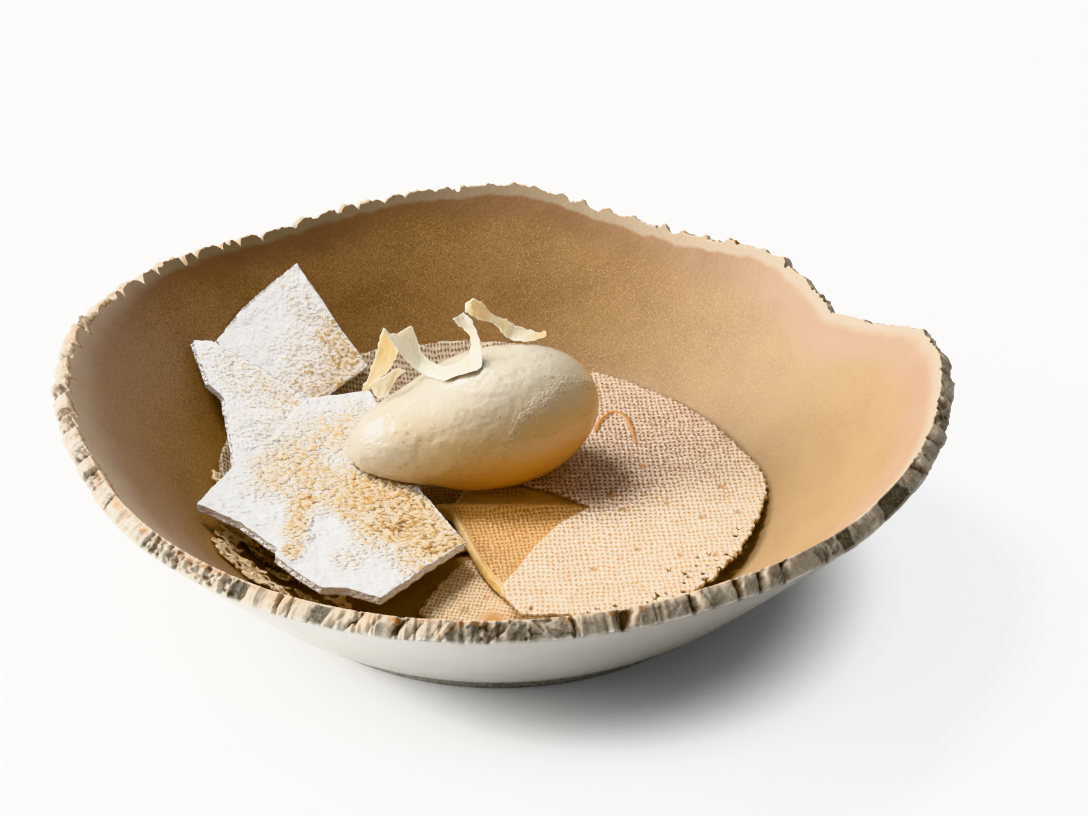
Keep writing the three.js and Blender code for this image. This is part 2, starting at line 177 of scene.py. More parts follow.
def cells(x: Array, y: Array, jitter: float, seed: int) -> Tuple[Array, ...]:
    """A staggered lattice of cells of pitch 1, with middles moved at random.

    Args:
        x: Places along the rows.
        y: Places across the rows.
        jitter: How far middles move, 0 to 1.
        seed: Which lattice.

    Returns:
        Distance to the nearest middle, to the second nearest, the nearest cell's own
        random number from 0 to 1, and the height of a flat facet tilted at random over it.
    """
    row0 = np.floor(y).astype(np.int64)
    near, second, own, east, north = (np.full(len(x), start) for start in (9.0, 9.0, 0.0, 0.0, 0.0))
    for dy in (-1, 0, 1):
        row = row0 + dy
        shift = 0.5 * (row % 2)
        column0 = np.floor(x - shift).astype(np.int64)
        for dx in (-1, 0, 1):
            column = column0 + dx
            jx, jy, chance = (hashed(seed, column, row, which) for which in (1, 2, 3))
            ex = x - (column + shift + 0.5 + jitter * (jx - 0.5))
            ey = y - (row + 0.5 + jitter * (jy - 0.5))
            d = np.hypot(ex, ey)
            closer = d < near
            second = np.where(closer, near, np.minimum(second, d))
            near, own, east, north = (
                np.where(closer, new, old)
                for new, old in ((d, near), (chance, own), (ex, east), (ey, north))
            )
    facet = own - 0.5 + east * (own * 37 % 1 - 0.5) + north * (own * 91 % 1 - 0.5)
    return near, second, own, facet


def joined(b: Array, c: Array, v0: Array, v1: Array, w: Array) -> Array:
    """Points w of the way from b to c, on a cubic that leaves at v0 and arrives at v1."""
    return (2 * b - 2 * c + v0 + v1) * w**3 + (3 * c - 3 * b - 2 * v0 - v1) * w**2 + v0 * w + b


def spline(points: Sequence[Sequence[float]], t: Array) -> Array:
    """A smooth curve through evenly spaced points.

    Args:
        points: What it goes through.
        t: Fractions of the way along.

    Returns:
        One point for each fraction.
    """
    p = np.array(points, float)
    x = np.clip(t, 0.0, 1.0) * (len(p) - 1)
    i = np.minimum(x.astype(int), len(p) - 2)
    a, b, c, d = p[np.maximum(i - 1, 0)], p[i], p[i + 1], p[np.minimum(i + 2, len(p) - 1)]
    return joined(b, c, (c - a) / 2, (d - b) / 2, (x - i)[:, None])


def even_spline(points: Sequence[Sequence[float]], t: Array) -> Array:
    """A smooth curve through unevenly spaced points, without loops at close ones.

    Args:
        points: What it goes through.
        t: Fractions of the way along.

    Returns:
        One point for each fraction.
    """
    p = np.array(points, float)
    p = np.vstack([2 * p[0] - p[1], p, 2 * p[-1] - p[-2]])
    x = np.clip(t, 0.0, 1.0) * (len(p) - 3)
    i = np.minimum(x.astype(int), len(p) - 4)
    a, b, c, d = p[i], p[i + 1], p[i + 2], p[i + 3]
    g0, g1, g2 = (np.sqrt(np.linalg.norm(leg, axis=1))[:, None] for leg in (b - a, c - b, d - c))
    v0 = ((b - a) / g0 - (c - a) / (g0 + g1) + (c - b) / g1) * g1
    v1 = ((c - b) / g1 - (d - b) / (g1 + g2) + (d - c) / g2) * g1
    return joined(b, c, v0, v1, (x - i)[:, None])


def turned(x: Array, y: Array, degrees: float) -> Tuple[Array, Array]:
    """Places measured along axes turned by an angle."""
    c, s = math.cos(math.radians(degrees)), math.sin(math.radians(degrees))
    return c * x + s * y, c * y - s * x


# ---------------------------------------- making meshes


def mesh_points(mesh: Mesh) -> Array:
    """The mesh's vertex places as an N x 3 array."""
    flat = np.empty(len(mesh.vertices) * 3)
    mesh.vertices.foreach_get("co", flat)
    return flat.reshape(-1, 3)


def set_points(mesh: Mesh, millimetres: Array) -> None:
    """Puts the mesh's vertices at places given in millimetres."""
    mesh.vertices.foreach_set("co", (millimetres * MM).ravel())
    mesh.update()


def finished(name: str, net: bmesh.types.BMesh) -> Mesh:
    """Makes a mesh of what the operators shaped."""
    mesh = bpy.data.meshes.new(name)
    net.to_mesh(mesh)
    net.free()
    return mesh


def linked(name: str, data: bpy.types.ID) -> Piece:
    """Puts a new object into the scene."""
    made = bpy.data.objects.new(name, data)
    bpy.context.scene.collection.objects.link(made)
    return made


def mark(mesh: Mesh, marks: Marks) -> None:
    """Keeps named numbers on the mesh's vertices for its finish to read."""
    for name, values in marks.items():
        layer = mesh.attributes.new(name, "FLOAT", "POINT")
        layer.data.foreach_set("value", np.asarray(values, np.float32))


def present(
    mesh: Mesh,
    materials: Sequence[Material],
    nodes: Sequence[str] = (),
) -> Piece:
    """Shows a mesh as a piece of the dish.

    Args:
        mesh: The finished mesh, in metres, in place.
        materials: Its materials in slot order.
        nodes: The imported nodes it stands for.

    Returns:
        The new object, riding on the dish.
    """
    piece = linked(mesh.name, mesh)
    for material in materials:
        mesh.materials.append(material)
    mesh.polygons.foreach_set("use_smooth", [True] * len(mesh.polygons))
    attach(piece, BODY)
    if nodes:
        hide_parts(*nodes)
    LOG.info("%s: %d faces", piece.name, len(mesh.polygons))
    return piece


Place = Callable[[Array, Array], Marked]


def closed_skin(name: str, columns: int, rows: int, place: Place) -> Mesh:
    """A closed net of columns and rows between a top pole and a bottom pole.

    Args:
        name: The mesh's name.
        columns: Steps round it.
        rows: Steps from the top pole to the bottom one.
        place: Gives the points in millimetres and their marks from column and row numbers.

    Returns:
        The mesh, with its faces outwards.
    """
    net = bmesh.new()
    bmesh.ops.create_grid(net, x_segments=columns, y_segments=rows, size=0.5)
    bmesh.ops.scale(net, vec=(columns, rows, 1.0), verts=net.verts)
    bmesh.ops.translate(net, vec=(columns / 2, -rows / 2, 0.0), verts=net.verts)
    at = {(round(v.co.x), round(-v.co.y)): v for v in net.verts}
    welds = {}
    for (across, down), vertex in at.items():
        kept = (0 if down in (0, rows) or across == columns else across, down)
        if kept != (across, down):
            welds[vertex] = at[kept]
    bmesh.ops.weld_verts(net, targetmap=welds)
    mesh = finished(name, net)
    unit = mesh_points(mesh)
    column, row = np.rint(unit[:, 0]).astype(int), np.rint(-unit[:, 1]).astype(int)
    points, marks = place(column, row)
    mark(mesh, marks)
    set_points(mesh, points)
    return mesh


def face_marks(mesh: Mesh, name: str, gather: np.ufunc) -> Array:
    """Takes a mark off the vertices and gathers it for each face.

    Args:
        mesh: The mesh with the mark.
        name: The mark, which is deleted.
        gather: np.minimum or np.maximum.

    Returns:
        The least or greatest value at each face's corners.
    """
    value = np.empty(len(mesh.vertices), np.float32)
    start = np.empty(len(mesh.polygons), np.int32)
    corner = np.empty(len(mesh.loops), np.int32)
    mesh.attributes[name].data.foreach_get("value", value)
    mesh.polygons.foreach_get("loop_start", start)
    mesh.loops.foreach_get("vertex_index", corner)
    mesh.attributes.remove(mesh.attributes[name])
    return gather.reduceat(value[corner], start)


def use_materials(mesh: Mesh, which: Array) -> None:
    """Gives each face its material by number."""
    mesh.polygons.foreach_set("material_index", which.astype(np.int32))


@dataclass(frozen=True)
class Layers:
    """Rows of a slab's closed skin: out over its top, down its side and in under it."""

    top: int
    side: int
    under: int

    @property
    def total(self) -> int:
        """All its rows."""
        return self.top + self.side + self.under

    def split(self, row: Array) -> Tuple[Array, ...]:
        """Where rows lie.

        Args:
            row: Row numbers.

        Returns:
            How far out over the top, down the side and in under it each row is, and its
            distance from the middle, all from 0 to 1.
        """
        over = np.clip(row / self.top, 0, 1)
        side = np.clip((row - self.top) / self.side, 0, 1)
        under = np.clip((row - self.top - self.side) / self.under, 0, 1)
        return over, side, under, np.where(under > 0, 1 - under, over)


class Outline:
    """A closed line of corners in plan, counted the left way round."""

    def __init__(self, corners: Line) -> None:
        """Keeps the corners, turned round if they run clockwise."""
        p = np.array(corners, float)
        q = np.roll(p, -1, axis=0)
        if np.sum(p[:, 0] * q[:, 1] - q[:, 0] * p[:, 1]) < 0:
            p = p[::-1]
        self.corners = p

    def closed(self) -> Array:
        """The corners with the first one again at the end."""
        return np.vstack([self.corners, self.corners[:1]])

    def walk(self, count: int) -> Array:
        """Points spread evenly along the line."""
        p = self.closed()
        run = np.concatenate([[0.0], np.cumsum(np.linalg.norm(np.diff(p, axis=0), axis=1))])
        at = np.linspace(0.0, run[-1], count, endpoint=False)
        return np.column_stack([np.interp(at, run, p[:, k]) for k in (0, 1)])

    def rounded(self, count: int) -> "Outline":
        """The same corners joined by one smooth curve."""
        return Outline(spline(self.closed(), np.arange(count) / count))

    def depth(self, x: Array, y: Array) -> Tuple[Array, Array]:
        """How far points lie inside the line.

        Args:
            x: Places along X.
            y: Places along Y.

        Returns:
            Distance to the line, positive inside, and the nearest points on the line.
        """
        best = np.full(len(x), FAR)
        nearest = np.zeros((len(x), 2))
        inside = np.zeros(len(x), bool)
        line = self.closed()
        for a, b in zip(line[:-1], line[1:]):
            ab = b - a
            t = ((x - a[0]) * ab[0] + (y - a[1]) * ab[1]) / max(ab @ ab, TINY)
            t = np.clip(t, 0.0, 1.0)
            foot = places(a[0] + t * ab[0], a[1] + t * ab[1])
            d = np.hypot(x - foot[:, 0], y - foot[:, 1])
            closer = d < best
            best = np.where(closer, d, best)
            nearest[closer] = foot[closer]
            crosses = (a[1] > y) != (b[1] > y)
            inside ^= crosses & (x < a[0] + (y - a[1]) * ab[0] / (ab[1] if ab[1] else TINY))
        return np.where(inside, best, -best), nearest


def loose(vertex: bmesh.types.BMVert) -> bool:
    """Whether no face is left at a vertex."""
    return not vertex.link_faces


def pinched(vertex: bmesh.types.BMVert) -> bool:
    """Whether a vertex is all that holds two parts of a sheet together."""
    return sum(edge.is_boundary for edge in vertex.link_edges) > 2


Field = Callable[[Array, Array], Array]
# Shares of a grid's square: vertices up to the first one outside the edge are kept, and
# border vertices nearer to it than the second are pulled onto it.
KEPT_OUTSIDE, PULLED_IN = 0.3, 1.6


def cut_grid(
    name: str, outline: Outline, pitch: float, edge: Field, holes: Optional[Field] = None
) -> Tuple[Mesh, Array]:
    """A flat grid trimmed to an outline, ready to be raised.

    Args:
        name: The mesh's name.
        outline: Where the sheet ends.
        pitch: Size of the grid's squares in millimetres.
        edge: How far inside the outline the sheet's edge lies at each place.
        holes: Above zero where the sheet has a hole.

    Returns:
        The mesh, and its points' places in plan in millimetres.
    """
    low, high = outline.corners.min(0) - pitch, outline.corners.max(0) + pitch
    count = np.ceil((high - low) / pitch).astype(int)
    grid = bmesh.new()
    bmesh.ops.create_grid(grid, x_segments=int(count[0]), y_segments=int(count[1]), size=0.5)
    bmesh.ops.scale(grid, vec=(*(count * pitch), 1.0), verts=grid.verts)
    bmesh.ops.translate(grid, vec=(*(low + count * pitch / 2), 0.0), verts=grid.verts)
    x, y = np.array([v.co[:2] for v in grid.verts]).T
    gone = outline.depth(x, y)[0] < edge(x, y) - KEPT_OUTSIDE * pitch
    if holes is not None:
        gone |= holes(x, y) > 0
    cut = [vertex for vertex, outside in zip(grid.verts, gone) if outside]
    bmesh.ops.delete(grid, geom=cut, context="VERTS")
    for unwanted in (loose, pinched, loose):
        bmesh.ops.delete(grid, geom=[v for v in grid.verts if unwanted(v)], context="VERTS")
    rim = np.flatnonzero([v.is_boundary for v in grid.verts])
    mesh = finished(name, grid)
    plan = mesh_points(mesh)[:, :2]
    x, y = plan[rim].T
    depth, nearest = outline.depth(x, y)
    wanted = edge(x, y)
    close = np.abs(depth - wanted) < PULLED_IN * pitch
    inward = plan[rim] - nearest
    inward /= np.maximum(np.abs(depth), 1e-6)[:, None] * np.sign(depth + TINY)[:, None]
    plan[rim[close]] = (nearest + inward * wanted[:, None])[close]
    return mesh, plan


def thicken(piece: Piece, thickness: float) -> None:
    """Gives a sheet its thickness downwards, in millimetres."""
    solid = piece.modifiers.new("thickness", "SOLIDIFY")
    solid.thickness = thickness * MM
    solid.offset = -1.0
    solid.use_even_offset = False


# ---------------------------------------- finishes

Socket = bpy.types.NodeSocket
Feed = Union[float, Colour, Socket]
NO_TURN = (0.0, 0.0, 0.0)


class Graph:
    """One material's nodes, wired by short calls."""

    def __init__(self, name: str) -> None:
        """Starts a material with an empty node tree and one surface shader."""
        self.material = bpy.data.materials.new(name)
        self.material.use_nodes = True
        self.tree = self.material.node_tree
        self.tree.nodes.clear()
        self.shader = self.tree.nodes.new("ShaderNodeBsdfPrincipled")
        output = self.tree.nodes.new("ShaderNodeOutputMaterial")
        self.tree.links.new(self.shader.outputs[0], output.inputs[0])
        self.place = self.tree.nodes.new("ShaderNodeTexCoord").outputs["Object"]

    def feed(self, socket: Socket, value: Feed) -> None:
        """Links a socket to another, or sets its own value."""
        if isinstance(value, Socket):
            self.tree.links.new(value, socket)
        elif socket.type == "RGBA":
            socket.default_value = (*value, 1.0)
        else:
            socket.default_value = value

    def node(self, kind: str, feeds: Dict[Union[int, str], Feed], **options: str) -> bpy.types.Node:
        """Adds a node.

        Args:
            kind: Its type's name after "ShaderNode".
            feeds: What goes into its sockets.
            options: Its own settings.

        Returns:
            The node.
        """
        made = self.tree.nodes.new("ShaderNode" + kind)
        for name, option in options.items():
            setattr(made, name, option)
        for socket, value in feeds.items():
            self.feed(made.inputs[socket], value)
        return made

    def surface(self, **values: Feed) -> None:
        """Sets the shader's sockets, with underscores for spaces in their names."""
        for name, value in values.items():
            self.feed(self.shader.inputs[name.replace("_", " ")], value)

    def paint(self, colour: Feed, roughness: Feed, shine: float) -> None:
        """Sets the colour, the roughness and the strength of the mirror shine."""
        self.surface(Base_Color=colour, Roughness=roughness, Specular_IOR_Level=shine)

    def flesh(self, weight: float, reach: Colour, depth: float) -> None:
        """Lets light soak in: its share, each colour's reach, and the depth in millimetres."""
        self.surface(Subsurface_Weight=weight, Subsurface_Radius=reach, Subsurface_Scale=depth * MM)

    def number(self, name: str) -> Socket:
        """A number kept on the mesh's vertices."""
        return self.node("Attribute", {}, attribute_name=name).outputs["Fac"]

    def stretched(self, scale: Colour, turn: Colour = NO_TURN) -> Socket:
        """Object coordinates turned, then stretched."""
        return self.node("Mapping", {"Vector": self.place, "Rotation": turn, "Scale": scale}).outputs[0]

    def noise(self, size: float, detail: float = 2.0, place: Optional[Socket] = None) -> Socket:
        """Noise whose blots are about size millimetres."""
        feeds = {"Vector": place or self.place, "Scale": 1.0 / (size * MM), "Detail": detail}
        return self.node("TexNoise", feeds).outputs["Fac"]

    def math(self, operation: str, first: Feed, second: Feed = 0.0) -> Socket:
        """One step of arithmetic."""
        return self.node("Math", {0: first, 1: second}, operation=operation).outputs[0]

    def plus(self, first: Feed, second: Feed) -> Socket:
        """The sum of two numbers."""
        return self.math("ADD", first, second)

    def minus(self, first: Feed, second: Feed) -> Socket:
        """The first number less the second."""
        return self.math("SUBTRACT", first, second)

    def times(self, first: Feed, second: Feed) -> Socket:
        """The product of two numbers."""
        return self.math("MULTIPLY", first, second)

    def step(self, value: Feed, low: float, high: float) -> Socket:
        """A soft step of a value from 0 at low to 1 at high."""
        feeds = {"Value": value, "From Min": low, "From Max": high}
        return self.node("MapRange", feeds, interpolation_type="SMOOTHSTEP").outputs[0]

    def blots(
        self, low: float, high: float, size: float, detail: float = 2.0, place: Optional[Socket] = None
    ) -> Socket:
        """Noise cut into blots whose soft edges lie between two levels."""
        return self.step(self.noise(size, detail, place), low, high)

    def mix(self, amount: Feed, first: Feed, second: Feed) -> Socket:
        """A colour between two."""
        return self.node("Mix", {0: amount, 6: first, 7: second}, data_type="RGBA").outputs[2]

    def tint(self, body: Feed, colour: Feed, amount: Feed, share: float) -> Socket:
        """A body colour with a share of another laid over it by an amount."""
        return self.mix(self.times(amount, share), body, colour)

    def ramp(self, value: Feed, stops: Sequence[Tuple[float, Colour]]) -> Socket:
        """A colour read off a row of stops.

        Args:
            value: Where on the row.
            stops: Places on the row and their colours.

        Returns:
            The colour.
        """
        node = self.node("ValToRGB", {0: value})
        band = node.color_ramp
        while len(band.elements) < len(stops):
            band.elements.new(0.5)
        for element, (at, colour) in zip(band.elements, stops):
            element.position = at
            element.color = (*colour, 1.0)
        return node.outputs[0]

    def bump(self, height: Feed, depth: float) -> None:
        """Fine relief under the mesh's own, depth in millimetres."""
        feeds = {"Strength": 1.0, "Distance": depth * MM, "Height": height}
        self.feed(self.shader.inputs["Normal"], self.node("Bump", feeds).outputs[0])


@dataclass(frozen=True)
class Glaze:
    """Golden brown speckled glaze, plainer higher up, with a dull band under the lip. Its colours carry
    painted light: paler on the lit right side, darker on the shaded left and back, with a painted grey
    sheen near the left lip.
    """

    gold: Sequence[Colour] = ((0.236, 0.131, 0.056), (0.246, 0.138, 0.053), (0.285, 0.184, 0.095))
    upper: Sequence[Colour] = ((0.150, 0.078, 0.038), (0.236, 0.131, 0.060), (0.325, 0.208, 0.132))
    band: Sequence[Colour] = ((0.200, 0.145, 0.086), (0.330, 0.250, 0.165), (0.400, 0.320, 0.230))
    brown: Colour = (0.165, 0.080, 0.030)
    fleck: Colour = (0.42, 0.27, 0.105)
    speck: Colour = (0.105, 0.050, 0.016)
    greyed: Colour = (0.290, 0.188, 0.128)
    painted_sheen: Colour = (0.480, 0.375, 0.275)
    sides: Sequence[float] = (0.0, 0.6, 1.0)
    golden_from: float = 3.0
    golden_at: float = 13.0

    def build(self) -> Material:
        """Makes the material."""
        g = Graph("speckled_glaze")
        pale, cool, below_lip = (g.number(name) for name in ("painted_light_side", "cool", "below_lip"))
        # Painted light: these colours ramp from darker on the shaded left and back to paler on the lit
        # right; the golden zone, the brown blots and the dark specks shift with the same side mark.
        gold, upper, band = (
            g.ramp(pale, list(zip(self.sides, row))) for row in (self.gold, self.upper, self.band)
        )
        cloud = g.noise(26.0, 3.0)
        level = g.plus(below_lip, g.times(g.minus(cloud, 0.5), 14.0))
        golden = g.step(g.minus(level, g.times(pale, 6.0)), self.golden_from, self.golden_at)
        body = g.mix(golden, upper, gold)
        shade = g.blots(0.42, 0.68, 19.0, 2.0, g.stretched((1.0, 1.0, 1.4)))
        shade = g.times(shade, g.minus(0.6, g.times(pale, 0.45)))
        body = g.mix(shade, body, self.brown)
        quiet = g.plus(g.times(cool, 0.25), g.times(pale, 0.22))
        amount = g.times(g.plus(0.15, g.times(golden, 0.5)), g.minus(1.0, quiet))
        # Painted sheen: the left side near the lip is greyed.
        body = g.tint(body, self.greyed, cool, 0.78)
        body = g.mix(g.times(g.blots(0.50, 0.70, 0.38, 1.0), amount), body, self.fleck)
        dots = g.blots(0.52, 0.70, 0.45, 1.0, g.stretched((1.1, 0.9, 1.0)))
        body = g.mix(g.times(dots, g.times(g.minus(1.1, pale), amount)), body, self.speck)
        wave = g.plus(0.6, g.times(g.noise(6.0, 2.0), 0.8))
        over = g.minus(below_lip, g.times(g.number("lip_band"), wave))
        over = g.math("DIVIDE", over, g.number("lip_soft"))
        # Painted sheen: the lip band is paler on the left.
        band = g.tint(band, self.painted_sheen, cool, 0.8)
        body = g.mix(g.minus(1.0, g.step(over, -0.5, 0.6)), body, band)
        g.paint(body, g.plus(0.44, g.times(cloud, 0.14)), 0.35)
        g.bump(g.plus(g.noise(0.9, 3.0), g.times(g.noise(7.0), 2.0)), 0.10)
        return g.material


@dataclass(frozen=True)
class BrokenClay:
    """Raw clay where the lip was torn: beige and grey with rust marks, and painted shade in its hollows,
    cracks and nooks and on the front-right lip.
    """

    cream: Colour = (0.50, 0.425, 0.325)
    grey: Colour = (0.30, 0.262, 0.205)
    brown: Colour = (0.15, 0.095, 0.052)
    nook_shade: Colour = (0.175, 0.108, 0.056)
    charcoal_and_shade: Colour = (0.078, 0.066, 0.048)
    dark: Colour = (0.066, 0.038, 0.018)
    rust: Colour = (0.42, 0.20, 0.070)
    edge: Colour = (0.58, 0.455, 0.32)
    slip: Colour = (0.47, 0.44, 0.385)
    chalk: Colour = (0.43, 0.405, 0.355)

    def build(self) -> Material:
        """Makes the material."""
        g = Graph("broken_clay")
        cool = g.number("cool")
        rusty = g.times(g.number("rust"), g.blots(0.32, 0.52, 1.4, 3.0))
        mottled = g.mix(g.blots(0.4, 0.65, 0.9, 3.0), self.charcoal_and_shade, self.grey)
        body = g.tint(self.cream, self.grey, g.blots(0.38, 0.60, 5.5, 3.0), 0.75)
        body = g.tint(body, self.chalk, cool, 0.65)
        body = g.tint(body, self.brown, g.blots(0.58, 0.66, 1.7, 4.0), 0.32)
        # Painted shade: brown blots on the left lip stand for the shade between its chunks.
        body = g.tint(body, self.nook_shade, g.times(g.blots(0.49, 0.56, 3.0, 3.0), cool), 0.5)
        body = g.tint(body, self.rust, g.blots(0.56, 0.70, 0.7, 2.0), 0.22)
        body = g.tint(body, self.rust, rusty, 0.95)
        body = g.tint(body, self.slip, g.number("fade"), 0.8)
        # Partly painted shade: besides the dark chunks torn that way, this covers blotches on the right lip
        # and painted shade on the front-right lip's lower face.
        body = g.mix(g.number("charcoal_and_shade"), body, g.mix(0.3, self.charcoal_and_shade, mottled))
        body = g.tint(body, self.edge, g.number("pale"), 0.8)
        # Painted shade: the pit mark darkens cracks, recesses and hollows.
        body = g.tint(body, self.dark, g.number("pit"), 0.95)
        g.paint(body, 0.88, 0.2)
        g.bump(g.plus(g.noise(0.9, 4.0), g.times(g.noise(0.3, 1.0), 0.4)), 0.26)
        return g.material


@dataclass(frozen=True)
class OuterSlip:
    """Matt ivory slip on the bowl's outside, with painted shade where it turns from the window."""

    ivory: Colour = (0.440, 0.422, 0.392)
    shade: Colour = (0.360, 0.342, 0.310)
    painted_shade: Colour = (0.096, 0.088, 0.068)
    dots: Colour = (0.42, 0.36, 0.27)

    def build(self) -> Material:
        """Makes the material."""
        g = Graph("ivory_slip")
        body = g.tint(self.ivory, self.shade, g.blots(0.35, 0.7, 18.0, 3.0), 0.45)
        # Painted shade: the side turned from the window is darkened.
        body = g.tint(body, self.painted_shade, g.step(g.number("painted_light_side"), 0.38, 1.0), 0.92)
        body = g.tint(body, self.dots, g.blots(0.7, 0.78, 0.9, 1.0), 0.2)
        g.paint(body, 0.62, 0.3)
        g.bump(g.noise(1.4, 3.0), 0.09)
        return g.material


@dataclass(frozen=True)
class FootClay:
    """Bare grey-beige clay of the turned foot."""

    clay: Colour = (0.36, 0.338, 0.295)
    sand: Colour = (0.25, 0.23, 0.195)

    def build(self) -> Material:
        """Makes the material."""
        g = Graph("foot_clay")
        body = g.mix(g.blots(0.4, 0.7, 1.0, 3.0), self.clay, self.sand)
        rings = g.noise(1.2, 1.0, g.stretched((0.05, 0.05, 1.0)))
        g.paint(body, 0.85, 0.25)
        g.bump(g.plus(rings, g.noise(0.6, 2.0)), 0.12)
        return g.material


@dataclass(frozen=True)
class Wafer:
    """A crisp sheet from the oven: pale threads over coloured pits, both darker where well browned and
    where painted shade is laid, with painted highlights on the threads.
    """

    name: str
    thread: Colour
    pit: Colour
    bake_and_shade_thread: Colour
    bake_and_shade_pit: Colour
    roughness: float
    painted_glint: Colour = (0.80, 0.66, 0.50)
    caramel: Colour = (0.42, 0.185, 0.045)

    def build(self) -> Material:
        """Makes the material."""
        g = Graph(self.name)
        bake_and_shade, open_net = g.number("bake_and_shade"), g.number("net")
        across = g.plus(g.number("net_u"), g.times(g.noise(1.5, 1.0), 0.85))
        along = g.plus(g.number("net_v"), g.times(g.noise(1.7, 1.0), 0.75))
        waves = [g.math("COSINE", g.times(turn, 2 * math.pi)) for turn in (across, along)]
        net = g.plus(g.plus(*waves), g.times(g.noise(0.6, 1.0), 2.4))
        pit = g.times(g.step(net, 1.35, 2.0), open_net)
        # Partly painted shade: this mark holds real browning and also shade painted on round the ice cream.
        thread = g.mix(bake_and_shade, self.thread, self.bake_and_shade_thread)
        hollow = g.mix(bake_and_shade, self.pit, self.bake_and_shade_pit)
        tone = g.times(g.blots(0.35, 0.72, 5.0, 3.0), 0.25)
        body = g.mix(g.plus(pit, tone), thread, hollow)
        # Painted highlights: small pale glints on the threads.
        painted_glint = g.times(g.blots(0.50, 0.62, 0.45, 1.0), open_net)
        body = g.mix(g.times(painted_glint, g.minus(0.7, g.times(pit, 0.6))), body, self.painted_glint)
        # Mostly real caramel; in the fold's hollow it is a little painted shade.
        body = g.mix(g.number("caramel"), body, self.caramel)
        g.paint(body, g.plus(self.roughness, g.times(pit, 0.2)), 0.5)
        g.flesh(0.1, (1.0, 0.5, 0.22), 0.6)
        g.bump(g.minus(g.times(g.noise(0.35, 2.0), 0.35), pit), 0.42)
        return g.material


PALE_WAFER = Wafer(
    "pale_wafer", thread=(0.83, 0.695, 0.505), pit=(0.52, 0.295, 0.11),
    bake_and_shade_thread=(0.52, 0.37, 0.240), bake_and_shade_pit=(0.22, 0.10, 0.04),
    roughness=0.33, painted_glint=(0.92, 0.81, 0.74),
)
DARK_WAFER = Wafer(
    "dark_wafer", thread=(0.58, 0.46, 0.33), pit=(0.24, 0.15, 0.075),
    bake_and_shade_thread=(0.34, 0.22, 0.11), bake_and_shade_pit=(0.13, 0.07, 0.03),
    roughness=0.5, painted_glint=(0.66, 0.56, 0.43),
)
FRONT_WAFER = Wafer(
    "front_wafer", thread=(0.88, 0.66, 0.42), pit=(0.56, 0.33, 0.13),
    bake_and_shade_thread=(0.80, 0.56, 0.32), bake_and_shade_pit=(0.44, 0.25, 0.10),
    roughness=0.30, painted_glint=(0.98, 0.89, 0.76),
)
# Painted light: paler than the other wafers, to stand in for light the front shard keeps off.
SCRAP_WAFER = Wafer(
    "scrap_wafer", thread=(0.97, 0.84, 0.62), pit=(0.78, 0.58, 0.35),
    bake_and_shade_thread=(0.74, 0.54, 0.32), bake_and_shade_pit=(0.42, 0.25, 0.11),
    roughness=0.5, painted_glint=(0.97, 0.88, 0.72),
)
CRUMB_WAFER = Wafer(
    "crumb_wafer", thread=(0.66, 0.50, 0.32), pit=(0.40, 0.25, 0.12),
    bake_and_shade_thread=(0.3, 0.2, 0.1), bake_and_shade_pit=(0.12, 0.06, 0.02), roughness=0.5,
)
BAKED_CUSTARD = Wafer(
    "baked_custard", thread=(0.60, 0.355, 0.15), pit=(0.38, 0.18, 0.05),
    bake_and_shade_thread=(0.70, 0.40, 0.15), bake_and_shade_pit=(0.38, 0.17, 0.04),
    roughness=0.24, painted_glint=(0.80, 0.55, 0.30),
)


@dataclass(frozen=True)
class Custard:
    """The fold's cut side: set custard, smooth and shining, its upper part painted a paler beige as painted
    light.
    """

    yellow: Colour = (0.68, 0.46, 0.17)
    beige: Colour = (0.86, 0.60, 0.31)
    burnt: Colour = (0.22, 0.085, 0.02)

    def build(self) -> Material:
        """Makes the material."""
        g = Graph("set_custard")
        brown = g.times(g.blots(0.45, 0.75, 3.0, 3.0), 0.6)
        # Painted light: the upper part of the side, which the front shard shades, is painted a paler beige.
        body = g.mix(g.number("skin_side"), self.yellow, self.beige)
        body = g.mix(g.math("MAXIMUM", brown, g.number("browned")), body, self.burnt)
        g.paint(body, 0.2, 0.55)
        g.surface(Coat_Weight=0.25, Coat_Roughness=0.12)
        g.flesh(0.35, (1.0, 0.6, 0.2), 2.5)
        g.bump(g.noise(2.2, 3.0), 0.25)
        return g.material


